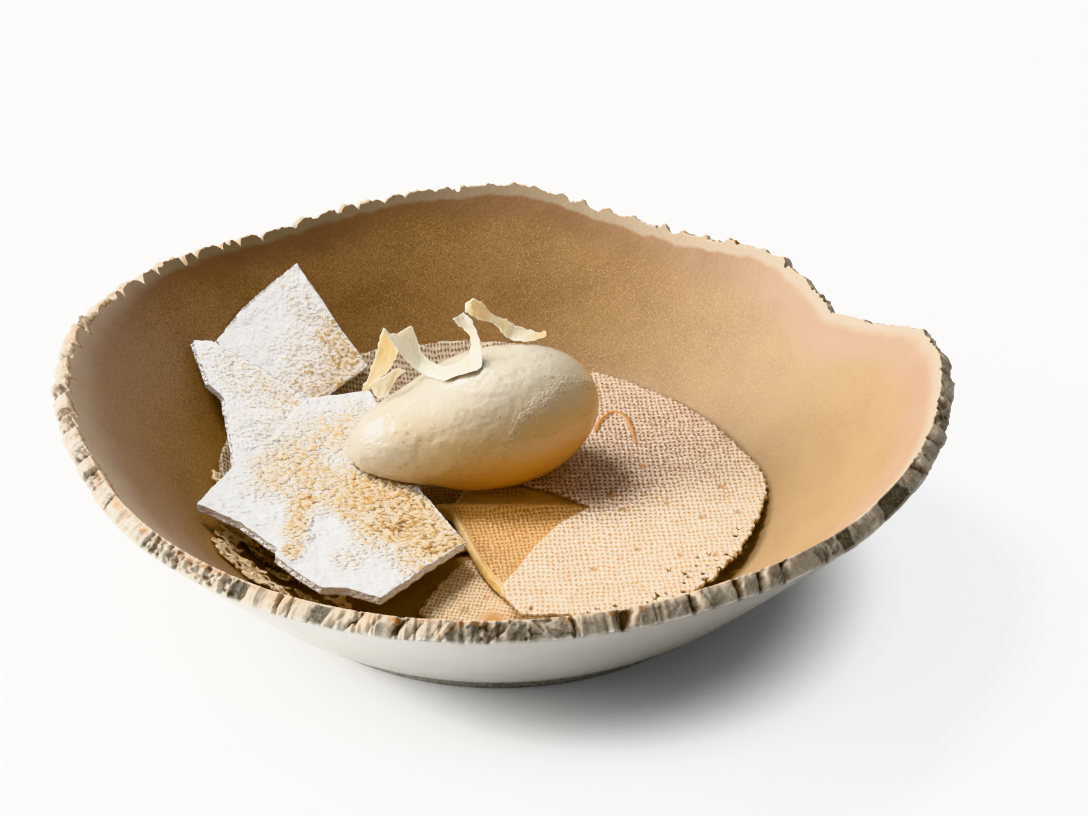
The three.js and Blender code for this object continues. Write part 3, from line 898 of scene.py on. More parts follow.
@dataclass(frozen=True)
class Meringue:
    """White dried meringue with scorched golden ridges; the front shard's top is painted greyer as painted
    light.
    """

    white: Colour = (0.95, 0.945, 0.95)
    shaded: Colour = (0.655, 0.650, 0.648)
    tan: Colour = (0.77, 0.575, 0.315)
    gold: Colour = (0.62, 0.40, 0.165)
    scorched: Colour = (0.40, 0.215, 0.075)

    def build(self) -> Material:
        """Makes the material."""
        g = Graph("toasted_meringue")
        heat = g.number("toast")
        scales = g.noise(1.1, 1.5, g.stretched((0.72, 1.15, 1.15), (0.0, 0.0, 0.16)))
        warmth = g.plus(heat, g.times(g.minus(g.noise(6.0, 2.0), 0.5), 0.6))
        reach = g.plus(scales, g.times(g.minus(warmth, 0.55), 0.20))
        toasted = g.ramp(warmth, [(0.1, self.tan), (0.6, self.gold), (1.1, self.scorched)])
        # Painted light: the front shard's top, which takes the window light, is painted greyer than the
        # other shards.
        body = g.mix(g.number("shade"), self.white, self.shaded)
        body = g.tint(body, self.tan, g.step(warmth, 0.05, 0.9), 0.75)
        body = g.mix(g.times(g.step(reach, 0.46, 0.66), g.step(heat, 0.0, 0.45)), body, toasted)
        g.paint(body, 0.62, 0.35)
        g.flesh(0.25, (1.0, 0.85, 0.6), 0.8)
        raised = g.times(g.step(scales, 0.28, 0.72), g.number("worked"))
        relief = g.plus(g.times(g.noise(0.8, 2.0), 0.25), raised)
        g.bump(g.plus(g.times(g.noise(3.6, 2.0), 1.1), relief), 0.62)
        return g.material


@dataclass(frozen=True)
class IceCream:
    """Smooth cream ice with fine specks, its crest frosty where it dragged off the tub. It is painted paler
    on top and at its tip, and a deeper orange low down for painted shade and painted reflection of the
    wafers' orange.
    """

    cream: Colour = (0.555, 0.432, 0.250)
    painted_lit_top: Colour = (0.575, 0.515, 0.405)
    deep: Colour = (0.62, 0.345, 0.115)
    speck: Colour = (0.16, 0.08, 0.03)
    frost: Colour = (0.84, 0.76, 0.62)

    def build(self) -> Material:
        """Makes the material."""
        g = Graph("cream_ice")
        # Painted light: the top and the tip are paler, and low down the body is painted a deeper orange for
        # shade and for the wafers' colour thrown up onto it.
        body = g.mix(g.number("painted_lit_top"), self.cream, self.painted_lit_top)
        body = g.mix(g.number("low"), body, self.deep)
        crystals = g.times(g.number("frost"), g.blots(0.42, 0.66, 0.6, 3.0))
        body = g.tint(body, self.frost, crystals, 0.5)
        body = g.tint(body, self.speck, g.blots(0.735, 0.79, 0.75, 1.0), 0.7)
        g.paint(body, g.plus(0.24, g.times(crystals, 0.3)), 0.5)
        g.surface(Coat_Weight=0.35, Coat_Roughness=0.14)
        g.flesh(0.35, (1.0, 0.78, 0.5), 2.0)
        brushed = g.noise(0.8, 2.0, g.stretched((0.12, 1.0, 1.0), (0.0, 0.2, -0.18)))
        relief = g.plus(g.times(brushed, 0.15), g.times(crystals, 1.4))
        g.bump(g.plus(relief, g.times(g.noise(3.2, 4.0), 2.2)), 0.20)
        return g.material


@dataclass(frozen=True)
class DriedMilk:
    """Thin dried milk skin: ivory, amber where light comes through or it has coloured."""

    ivory: Colour = (0.96, 0.895, 0.765)
    amber: Colour = (0.90, 0.655, 0.285)

    def build(self) -> Material:
        """Makes the material."""
        g = Graph("dried_milk")
        amount = g.plus(g.number("amber"), g.times(g.noise(2.5, 3.0), 0.25))
        body = g.mix(g.step(amount, 0.15, 1.0), self.ivory, self.amber)
        g.paint(body, 0.45, 0.45)
        g.flesh(0.45, (1.0, 0.85, 0.65), 0.7)
        g.bump(g.noise(1.1, 3.0, g.stretched((1.0, 1.0, 0.5))), 0.34)
        return g.material


# ---------------------------------------- bowl


class Tear(Enum):
    """Kinds of broken clay along the lip."""

    BLOCK = "B"
    CRAZED = "F"
    TOOTH = "T"
    CHARCOAL = "C"
    CREVICE = "V"
    CRUMBLY = "K"
    ROCKY = "R"
    PLATES = "P"


class Ring(Enum):
    """Parts of the bowl's section, from the middle of its inside round to its underside."""

    FLOOR = "floor"
    INSIDE = "inside"
    CLIMB = "climb"
    BRINK = "brink"
    FACE = "face"
    OUTSIDE = "outside"
    LOWER = "lower"
    FOOT = "foot"


def torn(kind: Array, *tears: Tear) -> Array:
    """Where the lip is broken in one of these ways."""
    return np.isin(kind, [tear.value for tear in tears])


def by_tear(kind: Array, values: Dict[Tear, Number], other: Number = 0.0) -> Array:
    """Each place's value by the way it is broken.

    Args:
        kind: Each place's kind of tear as a letter.
        values: What some kinds give.
        other: What the rest give.

    Returns:
        One value for each place.
    """
    return np.select([kind == tear.value for tear in values], list(values.values()), other)


@dataclass
class Bowl:
    """The bowl: glazed inside, torn lip, slipped outside and turned foot.

    Angles are in degrees from +X, counted the left way round. An arc holds where something
    starts, is whole, begins to fade and is gone. A row of bands holds an angle, the width
    and softness of the dull band under the lip there, and how lit that side is painted:
    paler glaze inside, and painted shade on the slip outside.
    """

    floor_top: float = 9.0
    flat_floor: float = 50.0
    floor_edge: Pair = (57.0, 9.2)
    foot_radius: float = 64.6
    foot_height: float = 3.3
    foot_taper: float = 0.4
    foot_ring: float = 5.7
    foot_recess: float = 1.8
    break_drop: float = 3.4
    lip_radius: float = 108.0
    wall_length: float = 75.0
    grip: float = 0.58
    columns: int = 2300
    face_rows: int = 18
    inside_wall: Line = (
        (65.6, 11.4), (74.7, 17.8), (86.9, 29.5), (101.3, 44.9), (118.3, 63.8),
    )
    outside_wall: Line = (
        (65.3, 3.9), (70.5, 6.6), (79.0, 13.7), (90.6, 26.0), (105.0, 41.6), (122.0, 60.5),
    )
    lip_heights: Line = (
        (0, 57.5), (9, 56), (18, 49), (27, 45), (35, 47.5), (43, 50), (60, 47.8), (72, 49.5),
        (88, 54.2), (110, 52.8), (128, 51.3), (150, 55), (172, 57.2), (186, 55.6), (201, 51),
        (215, 50.2), (245, 49.8), (268, 52), (286, 53.8), (298, 57), (310, 57.2), (326, 53.5),
        (342, 55.5), (360, 57.5),
    )
    tears: str = (
        "0F 3K 14R 20B 27R 34B 40V 41B 50R 56F 64V 65B 74R 80B 88T 90B 97V 98F 108R 114B 122K "
        "128B 136V 137B 146R 151B 158T 160B 167R 172B 177V 178B 183R 186B 190V 191R 194B 198K "
        "200F 203R 206B 210.2V 210.8B 221K 236C 238.6B 242.8V 243.5T 244.6V 245B 247.6C 250.2T "
        "251.5B 253.2V 253.9T 255.8V 256.1B 258.5V 259.6B 260.8V 261.1B 263.8V 264.1T 265R 268K "
        "270R 274P 279V 279.6T 280.2B 282.9V 283.2B 284.5V 286T 287B 288.6V 288.9F 292.6V 293.5T "
        "294.6B 298V 299T 299.7B 301.2V 302.2T 303F 304.6V 305.6B 310R 314C 317F 325C 331F 335R "
        "338B 341V 341.6B 345K 349R 352F 357V 357.6B"
    )
    bands: Sequence[Tuple[float, float, float, float]] = (
        (0, 2.6, 4.6, 1.0), (22, 2.8, 3.6, 1.0), (50, 3.4, 1.5, 0.66), (66, 3.4, 1.1, 0.6),
        (84, 3.2, 1.1, 0.35), (104, 3.0, 1.2, 0.1), (122, 2.9, 1.3, 0.0), (150, 2.6, 2.2, 0.0),
        (172, 3.5, 14.0, 0.22), (190, 7.0, 20.0, 0.3), (216, 8.5, 20.0, 0.38),
        (236, 3.0, 12.0, 0.52), (260, 1.2, 2.0, 0.6), (300, 0.8, 4.0, 0.9),
        (330, 1.6, 5.0, 1.0), (348, 2.6, 4.6, 1.0), (360, 2.6, 4.6, 1.0),
    )
    bitten: Arc = (24.0, 58.0, 195.0, 215.0)
    humped: Arc = (92.0, 100.0, 200.0, 215.0)
    burnt: Arc = (50.0, 80.0, 226.0, 236.0)
    greyed: Arc = (140.0, 172.0, 214.0, 244.0)
    bare: Arc = (150.0, 175.0, 226.0, 240.0)
    leaning: Arc = (222.0, 236.0, 266.0, 278.0)
    left_arc: Arc = (146.0, 160.0, 224.0, 234.0)
    front_arc: Arc = (230.0, 240.0, 330.0, 345.0)
    right_arc: Arc = (284.0, 306.0, 24.0, 40.0)
    shaded_front_arc: Arc = (254.0, 272.0, 296.0, 316.0)

    def inside_line(self) -> Array:
        """Radius against height of the bowl's inside, from its middle to past the lip."""
        wall = spline(self.inside_wall, np.linspace(0, 1, 60))
        floor = [[0, self.floor_top], [self.flat_floor, self.floor_top], self.floor_edge]
        return np.vstack([*floor, wall])

    def inside_height(self, x: Array, y: Array) -> Array:
        """Height of the bowl's inside in plan."""
        line = self.inside_line()
        return np.interp(np.hypot(x, y), line[:, 0], line[:, 1])

    def along_lip(self, degrees: Array) -> Array:
        """Distance along the lip at each angle."""
        return np.radians(degrees) * self.lip_radius

    def chunks(self, degrees: Array) -> Tuple[Array, Array, Array, Array]:
        """Which piece of the torn lip each angle falls on.

        Args:
            degrees: Angles from 0 to 360.

        Returns:
            Each one's kind as a letter, distance to the nearer end in millimetres, place
            from 0 to 1 along it, and its own random number.
        """
        words = self.tears.split()
        starts = np.array([float(word[:-1]) for word in words])
        kinds = np.array([Tear(word[-1]).value for word in words])
        round_once = degrees % 360.0
        index = np.searchsorted(starts, round_once, side="right") - 1
        ends = np.append(starts[1:], 360.0)
        near = np.minimum(round_once - starts[index], ends[index] - round_once)
        along = (round_once - starts[index]) / (ends[index] - starts[index])
        return kinds[index], near * math.radians(self.lip_radius), along, hashed(17, index)

    def bites(self, run: Array, pitch: float, seed: int) -> Tuple[Array, Array]:
        """Rounded bites in a row along the lip.

        Args:
            run: Distance along the lip.
            pitch: Usual length of a bite.
            seed: Which row.

        Returns:
            Depth from 0 at their ends to 1 in the middle, and each bite's own random number.
        """
        round_lip = 2 * math.pi * self.lip_radius
        total = round(round_lip / pitch)
        u = run / round_lip * total

        def start(cell: Array) -> Array:
            """Where a bite starts."""
            return cell + 0.7 * (hashed(seed, cell % total) - 0.5)

        cell = np.floor(u).astype(np.int64)
        cell = np.where(u < start(cell), cell - 1, cell)
        t = np.clip((u - start(cell)) / (start(cell + 1) - start(cell)), 0, 1)
        return 1 - (2 * t - 1) ** 2, hashed(seed, cell % total, 1)

    def lip(self, degrees: Array) -> Array:
        """Height of the torn lip's inner edge, with its bites and notches.

        Args:
            degrees: Angles from 0 to 360.

        Returns:
            One height for each angle.
        """
        line = np.array(self.lip_heights, float)
        at = np.interp(degrees, line[:, 0], line[:, 1])
        run = self.along_lip(degrees)
        broad, broad_own = self.bites(run, 7.6, 3)
        fine, fine_own = self.bites(run, 2.6, 5)
        back, humps = between(degrees, *self.bitten), between(degrees, *self.humped)
        kind, near, _, _ = self.chunks(degrees)
        notch = torn(kind, Tear.CREVICE) * smooth(near, 0.0, 0.5) * 0.9
        rough = torn(kind, Tear.CRUMBLY, Tear.ROCKY)
        bite = (0.15 + 0.60 * back) * (0.4 + 1.7 * broad_own) * broad
        hump = 1.5 * (0.35 + 1.3 * broad_own) * (1 - broad) ** 2
        at = at - bite * (1 - humps) - hump * humps - 0.25 * back
        at = at - (0.10 + 0.25 * rough + 0.12 * back) * (0.3 + fine_own) * fine - notch
        return at - 0.15 + (0.08 + 0.12 * rough) * grain(places(run, 0), 0.9, 8, 2)

    def brink_width(self, degrees: Array) -> Array:
        """How far the bare clay shows over the inner edge, in millimetres."""
        ragged = grain(places(self.along_lip(degrees), 0), 4.2, 23, 3)
        bare = between(degrees, *self.bare)
        return 0.20 + 0.10 * np.abs(ragged) + bare * 1.3 * smooth(ragged, -0.3, 0.6)

    def build(self) -> Piece:
        """Makes and shows the bowl."""
        steps = {
            Ring.FLOOR: (0.0, self.flat_floor, self.floor_edge[0]),
            Ring.INSIDE: (0.0, 0.12, 0.28, 0.43, self.grip),
            Ring.CLIMB: (0.45, 0.8),
            Ring.BRINK: (1.0,),
            Ring.FACE: np.linspace(0, 1, self.face_rows) ** 1.1,
            Ring.OUTSIDE: (0.96, 0.75, 0.4, 0.0),
            Ring.LOWER: (0.42, 0.3, 0.17, 0.06, 0.0),
            Ring.FOOT: range(len(self.foot_line())),
        }
        rings = [(part, at) for part, row in steps.items() for at in row]
        parts = [part for part, _ in rings]
        degrees = np.arange(self.columns) * 360.0 / self.columns
        table, marks = self.sections(rings, degrees)
        low, high = np.array(CAD_BOX[0]) / MM + 0.02, np.array(CAD_BOX[1]) / MM - 0.02

        def place(column: Array, row: Array) -> Marked:
            """Points and marks of the bowl's skin."""
            flat, angle = table[row, column], np.radians(degrees[column])
            x = np.clip(flat[:, 0] * np.cos(angle), low[0], high[0])
            y = np.clip(flat[:, 0] * np.sin(angle), low[1], high[1])
            chosen = {name: values[row, column] for name, values in marks.items()}
            return places(x, y, flat[:, 1]), chosen

        mesh = closed_skin("stoneware_bowl", self.columns, len(rings) - 1, place)
        finishes = (Glaze(), BrokenClay(), OuterSlip(), FootClay())
        piece = present(mesh, [finish.build() for finish in finishes], ["bowl"])
        top = face_marks(mesh, "ring", np.minimum)
        starts = [parts.index(part) - 1 for part in (Ring.FACE, Ring.OUTSIDE, Ring.FOOT)]
        use_materials(mesh, np.searchsorted(starts, top, side="right"))
        return piece

    def foot_line(self) -> Line:
        """Radius and height of the foot, in round its ring to the middle of its recess."""
        inner = self.foot_radius - self.foot_ring
        return (
            (self.foot_radius + 0.1, self.foot_height), (self.foot_radius - 0.2, 0.3),
            (self.foot_radius - self.foot_taper - 0.4, 0.0), (inner + 0.3, 0.0),
            (inner - 0.2, 0.3), (inner - 1.0, self.foot_recess), (0.0, self.foot_recess),
        )

    def sections(
        self, rings: Sequence[Tuple[Ring, float]], degrees: Array
    ) -> Marked:
        """Radius and height of every ring at every angle, with their marks.

        Args:
            rings: Each ring's part of the section and its place on it.
            degrees: The columns' angles.

        Returns:
            A rings x columns x 2 table, and marks of the same first two sizes.
        """
        samples = np.linspace(0.4, 1, 500)
        rise_in, rise_out = spline(self.inside_wall, samples), spline(self.outside_wall, samples)
        lip, near_by = self.lip(degrees), np.ones(25) / 25
        mean_lip = np.convolve(np.concatenate([lip[-12:], lip, lip[:12]]), near_by, "valid")
        t_in = np.interp(lip, rise_in[:, 1], samples)
        inner = spline(self.inside_wall, t_in)
        _, near_end, _, own = self.chunks(degrees)
        drop = self.break_drop + 0.35 * grain(places(self.along_lip(degrees), 0), 7.0, 21, 2)
        drop = drop + 1.1 * (own - 0.5) * smooth(near_end, 0.0, 0.8)
        t_out = np.interp(lip - drop, rise_out[:, 1], samples)
        outer = spline(self.outside_wall, t_out)
        brink = t_in - self.brink_width(degrees) / self.wall_length
        foot = self.foot_line()
        table = np.zeros((len(rings), len(degrees), 2))
        names = ("below_lip", "lip_band", "lip_soft", "painted_light_side", "cool", "charcoal_and_shade", "rust", "pit",
                 "pale", "fade", "ring")
        marks = {name: np.zeros(table.shape[:2]) for name in names}
        bands = np.array(self.bands, float)
        for k, (part, at) in enumerate(rings):
            if part is Ring.FLOOR:
                table[k] = (at, self.floor_edge[1] if at > self.flat_floor else self.floor_top)
            elif part is Ring.INSIDE:
                table[k] = spline(self.inside_wall, np.array([at]))[0]
            elif part is Ring.CLIMB:
                table[k] = spline(self.inside_wall, self.grip + (brink - self.grip) * at)
            elif part is Ring.BRINK:
                table[k] = spline(self.inside_wall, brink)
                burnt = between(degrees, *self.burnt)
                marks["pit"][k] = 0.45 * burnt
                marks["rust"][k] = burnt
                marks["pale"][k] = 1 - burnt
            elif part is Ring.FACE:
                table[k], extra = self.face(at, inner, outer, degrees)
                for name, values in extra.items():
                    marks[name][k] = values
            elif part is Ring.OUTSIDE:
                table[k] = spline(self.outside_wall, 0.5 + (t_out - 0.5) * at)
            elif part is Ring.LOWER:
                table[k] = spline(self.outside_wall, np.array([at]))[0]
            else:
                table[k] = foot[int(at)]
            marks["below_lip"][k] = (mean_lip - table[k, :, 1]) * 1.35
            # The last of these is painted light: how lit each side is painted.
            for place, name in enumerate(("lip_band", "lip_soft", "painted_light_side"), 1):
                marks[name][k] = np.interp(degrees, bands[:, 0], bands[:, place])
            # Painted sheen: cool marks the left side near the lip, where the glaze is greyed; the torn clay
            # there is also chalkier and gets painted nook shade.
            marks["cool"][k] = between(degrees, *self.greyed)
            marks["cool"][k] *= fade(marks["below_lip"][k], 16.0, 44.0)
            marks["ring"][k] = k
        return table, marks

    def face(self, v: float, inner: Array, outer: Array, degrees: Array) -> Marked:
        """One ring of the broken face.

        Args:
            v: 0 at the inner edge, 1 at the outer one.
            inner: The inner edge.
            outer: The outer edge.
            degrees: The columns' angles.

        Returns:
            Radius and height at every column, and marks for the finish.
        """
        across = outer - inner
        wide = np.linalg.norm(across, axis=1)
        out = places(-across[:, 1], across[:, 0]) / wide[:, None]
        run = self.along_lip(degrees)
        place, x, y = places(run, v * 5.0), run, np.full_like(run, v * 5.0)
        level = np.full_like(run, v)
        left, front = between(degrees, *self.left_arc), between(degrees, *self.front_arc)
        right = smooth(degrees, *self.right_arc[:2]) + fade(degrees, *self.right_arc[2:])
        lean = 1.3 * between(degrees, *self.leaning) + grain(places(run, 0), 9.0, 31)
        waver = 0.22 * grain(place, 1.5, 33, 2)
        kind, near, along, own = self.chunks(degrees + lean * (v - 0.4) + waver)
        near_stone, far_stone, stone, chip = cells(x / 1.4, y / 1.3, 0.95, 41)
        slab = cells(x / 4.4, y / 3.0 + 0.3 * x, 0.95, 43)[3]
        near_plate, far_plate, _, sheets = cells(x / 3.2 + 0.2 * y, y / 1.5 - 0.3 * x, 0.9, 59)
        threads = grain(places(run / 0.9, level * 0.8 + 0.1 * run), 1.0, 51, 2)
        craze, blotch = smooth(threads, 0.42, 0.58), grain(place, 2.4, 53, 2)
        ends = smooth(near, 0.0, 0.7)
        taper = smooth(near, 0.25 + 0.45 * v * own, 0.55 + 0.45 * v * own)
        slope = (along - 0.5) * (own * 5 % 1 - 0.45) * 2.0
        soft = (0.10 + 0.06 * left) * grain(place, 2.2, 47, 3)
        block = 0.7 * (own - 0.45) + 0.8 * slope - 0.30 * (1 - ends) + soft
        block = block + 0.45 * slab * (1 - 0.7 * front - 0.5 * left) + 0.12 * chip * left
        relief = by_tear(kind, {
            Tear.BLOCK: block,
            Tear.CRAZED: block + 0.30 * chip - 0.12 * craze,
            Tear.TOOTH: 0.35 - 0.5 * (1 - ends) + 1.6 * soft,
            Tear.CHARCOAL: -0.55 * ends + soft + 0.35 * slab,
            Tear.CREVICE: -(0.5 + 1.2 * own) * taper - 0.2,
            Tear.CRUMBLY: chip + 0.6 * slab - 0.1,
            Tear.ROCKY: 1.1 * slab + 0.45 * chip + soft,
            Tear.PLATES: 1.3 * sheets + soft,
        })
        hollows = smooth(-relief, 0.25, 0.75)
        bulge = math.sin(math.pi * v)
        keep = bulge**0.5 if 0 < v < 1 else 0.0
        flat = inner + across * v + out * ((relief + 0.40 * bulge) * keep)[:, None]

        # Painted shade: the pit mark darkens crevices, gaps between stones, crazing, plate joints and every
        # recess of the relief, and on the left the chunk ends, crumbly holes and lee sides.
        hollow = smooth(0.30 - stone, 0.0, 0.10) * smooth(far_stone - near_stone, 0.05, 0.25)
        pit = by_tear(kind, {
            Tear.CREVICE: 0.15 + 0.8 * taper,
            Tear.CRUMBLY: 0.75 * hollow,
            Tear.ROCKY: 0.4 * hollow + 0.25 * smooth(blotch, 0.1, 0.7),
            Tear.CRAZED: 0.30 * craze,
            Tear.PLATES: 0.6 * smooth(0.12 - (far_plate - near_plate), 0.0, 0.1),
        }, 0.85 * left * fade(near, 0.15, 0.5) * (own > 0.3))
        charred = torn(kind, Tear.CHARCOAL)
        pit = np.maximum(pit, (0.55 + 0.15 * left) * hollows * ~charred)
        lee = smooth(grain(place, 2.3, 63, 2) + 0.9 * (along - 0.55), 0.12, 0.34)
        holed = 0.22 + 0.62 * smooth(grain(place, 1.3, 67, 2), -0.05, 0.40)
        loose_clay = torn(kind, Tear.CRUMBLY, Tear.ROCKY)
        pit = np.maximum(pit, left * np.where(loose_clay, holed, 0.22 * lee))
        dusty = smooth(grain(places(run, 0), 7.0, 57, 2), -0.35, 0.35)
        rust = smooth(0.80 + 0.7 * blotch - 2.1 * v, 0.05, 0.5)
        rust = rust * by_tear(kind, {Tear.TOOTH: 0.9, Tear.CREVICE: 0.5}, 0.4 + 0.6 * dusty)
        rust = rust * (1 - 0.7 * right) * (1 - 0.35 * left)
        # The right lip is darkened in blotches, and the front-right lip's lower face gets painted shade.
        darkened = 0.5 * right * smooth(blotch + 0.8 * (own - 0.3), -0.3, 0.5)
        start, full, fades, gone = self.shaded_front_arc
        dull = smooth(degrees, start, full) * (1 - 0.5 * smooth(degrees, fades, gone))
        darkened = np.maximum(darkened, (0.60 + 0.12 * blotch) * dull * smooth(level, 0.0, 0.3))
        below, fading = smooth(level, 0.02, 0.10), smooth(level, 0.72, 1.0)
        return flat, {
            "charcoal_and_shade": np.maximum(charred * ends, darkened) * below
            * (1 - 0.8 * smooth(level, 0.86, 1.0)),
            "rust": rust * below * ~charred,
            "pit": pit * below * (1 - 0.85 * smooth(level, 0.8, 0.97)),
            "pale": np.maximum(1.0 - min(1.0, v / 0.05), 0.7 * torn(kind, Tear.TOOTH) * (1 - fading)),
            "fade": fading,
        }


# ---------------------------------------- wafers


@dataclass(frozen=True)
class NetPattern:
    """A baked net: staggered pits between raised threads, a little astray here and there."""

    pitch: float
    row_pitch: float
    jitter: float
    turn: float
    seed: int
    depth: float

    def relief(self, x: Array, y: Array) -> Marked:
        """The net over a sheet.

        Args:
            x: Places along X.
            y: Places along Y.

        Returns:
            Its height, and its running coordinates for the finish.
        """
        plan = places(x, y)
        across, along = turned(x, y, self.turn)
        u = across / self.pitch + self.jitter * grain(plan, 5.0, self.seed, 3)
        v = along / self.row_pitch + self.jitter * grain(plan, 5.0, self.seed + 5, 3)
        pit = smooth(0.5 * (np.cos(2 * np.pi * u) + np.cos(2 * np.pi * v)), -0.2, 0.7)
        lumps = grain(plan, 1.1, self.seed + 9, 2)
        return -self.depth * pit + 0.07 * lumps, {"net_u": u, "net_v": v}


def blisters(x: Array, y: Array, spots: Sequence[Spot]) -> Array:
    """How deep in one of a few round blisters each place is.

    Args:
        x: Places along X.
        y: Places along Y.
        spots: Each blister's middle and radius.

    Returns:
        0 outside them to 1 in their middles.
    """
    deep = np.zeros_like(x)
    for cx, cy, radius in spots:
        deep = np.maximum(deep, fade(np.hypot(x - cx, y - cy), 0.55 * radius, radius))
    return deep


def lay_sheet(
    mesh: Mesh,
    points: Array,
    marks: Marks,
    thickness: float,
    finish: Wafer,
    nodes: Sequence[str] = (),
) -> Piece:
    """Raises a trimmed grid, marks it and shows it as a sheet.

    Args:
        mesh: The flat grid.
        points: Places of its upper face in millimetres.
        marks: Numbers for its finish.
        thickness: Its thickness in millimetres.
        finish: How it looks.
        nodes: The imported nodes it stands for.

    Returns:
        The new object.
    """
    mark(mesh, marks)
    set_points(mesh, points)
    piece = present(mesh, [finish.build()], nodes)
    thicken(piece, thickness)
    return piece


@dataclass
class RightWafer:
    """The large pale lace wafer on the right."""

    radius: float = 67.8
    belly: float = 3.0
    trim: float = 8.0
    base: float = 15.45
    rise: float = 1.15
    rise_start: float = 42.0
    lift: float = 1.7
    lift_turn: float = -42.0
    thickness: float = 1.1
    pitch: float = 0.36
    net: NetPattern = NetPattern(1.28, 1.85, 0.35, 4.0, 101, 0.24)
    left_edge: Line = (
        (15, 50), (6, 25), (2, 12), (4, 4.5), (7, 2.5), (12.4, 0.2), (17.2, -3), (23.5, -7.3),
        (15.3, -15.7), (8.9, -26.3), (4.7, -36.4), (1.5, -42.4), (0.4, -46.5), (3, -51.5),
        (6, -56.5),
    )
    drops: Sequence[Spot] = (
        (52.6, -12.6, 1.5), (58.3, 2.4, 1.3), (35.5, -27.6, 1.2), (46, -30.5, 1.3),
        (32.0, -8.4, 1.3), (43.5, -5.2, 1.2), (28.9, -2.0, 1.4), (37.9, 13.0, 1.3),
        (55.0, -31.0, 1.1), (24.0, -36.5, 1.3), (62.0, -10.5, 1.2),
    )
    crease: Line = (
        (25.3, 29.5), (27.0, 35.5), (30.0, 39.6), (33.3, 38.2), (35.3, 31.5), (36.2, 24.0),
    )

    def height(self, x: Array, y: Array) -> Array:
        """Height of the sheet's middle, raised towards the fold and at its front right."""
        towards_fold = np.clip((self.rise_start - x) / self.rise_start, 0, 1)
        lifted = np.clip((turned(x, y, self.lift_turn)[0] - 30) / 40, 0, 1)
        return self.base + self.rise * towards_fold + self.lift * lifted**2

    def outline(self) -> Outline:
        """The disc's round side and its cut left edge."""
        corners: List[Pair] = []
        for angle in np.arange(-72.0, 68.5, 2.0):
            reach = self.radius + self.belly * float(bell(angle, 4.0, 14.0))
            reach -= self.trim * float(smooth(np.array(-angle), 46.0, 76.0))
            turn = math.radians(angle)
            corners.append((reach * math.cos(turn), reach * math.sin(turn)))
        return Outline(corners + list(self.left_edge))

    def arch(self, x: Array, y: Array) -> Array:
        """The smooth caramel crease that arches over a swelling near the ice cream."""
        d = np.full(len(x), FAR)
        for cx, cy in spline(self.crease, np.linspace(0, 1, 40)):
            d = np.minimum(d, np.hypot(x - cx, y - cy))
        return fade(d, 0.35, 0.95) * (0.55 + 0.45 * smooth(y, 24.0, 33.0))

    def build(self) -> Piece:
        """Makes and shows the wafer."""
        outline = self.outline()

        def edge(x: Array, y: Array) -> Array:
            """How far inside the outline the crumbling round edge lies."""
            round_side = smooth(np.hypot(x, y), 54.0, 60.0) * smooth(x, 6.0, 14.0)
            teeth = 0.5 + 0.5 * grain(places(x, y), 1.15, 7, 1)
            slow = 0.5 + 0.5 * grain(places(x, y), 7.0, 9, 1)
            return round_side * (0.95 * teeth + 0.5 * slow - 0.25) + 0.05

        def holes(x: Array, y: Array) -> Array:
            """Where small holes pierce the lower rim."""
            rim = smooth(np.hypot(x - 6, y + 4), 46.0, 58.0) * smooth(-y, 12.0, 34.0)
            near, _, own, _ = cells(x / 2.7, y / 2.7, 0.9, 61)
            return (near < 0.17) & (own < 0.55 * rim)

        mesh, plan = cut_grid("right_lace_wafer", outline, self.pitch, edge, holes)
        x, y = plan.T
        net, running = self.net.relief(x, y)
        dent, arch = blisters(x, y, self.drops), self.arch(x, y)
        pale = smooth(np.hypot(x - 12, y - 6), 26.0, 62.0)
        # Partly painted shade: the darkening round the ice cream, where its shadow falls, and near the rim
        # at the back right is painted shade; the rest is browning, heavier towards the back.
        bake_and_shade = fade(np.hypot((x - 22) * 0.9, y - 6), 5.0, 29.0)
        shaded_rim = np.exp(-(((x - 57) / 13.0) ** 2 + ((y - 24) / 15.0) ** 2))
        bake_and_shade = np.clip(bake_and_shade + 0.60 * smooth(y, -10.0, 14.0) * (1 - 0.35 * pale), 0, 1)
        bake_and_shade = np.clip(bake_and_shade + 0.35 * shaded_rim + 0.50 * smooth(y, 14.0, 36.0), 0, 1)
        depth, _ = outline.depth(x, y)
        worn = fade(depth, 0.0, 1.2)
        calm = smooth(x, 18.0, 32.0) * smooth(depth, 2.0, 12.0)
        z = self.height(x, y) + self.thickness / 2 + 0.35 * calm * grain(plan, 26.0, 13, 2)
        z = z + net * (1 - 0.8 * arch) * (1 - 0.25 * pale) - 0.4 * dent + 0.35 * arch - 0.2 * worn
        marks = {
            "net": (1 - 0.18 * pale) * (1 - dent) * (1 - arch),
            "caramel": np.clip(0.75 * dent + arch, 0, 1),
            "bake_and_shade": bake_and_shade,
            **running,
        }
        return lay_sheet(
            mesh, places(x, y, z), marks, self.thickness, PALE_WAFER, ["lace_right"]
        )


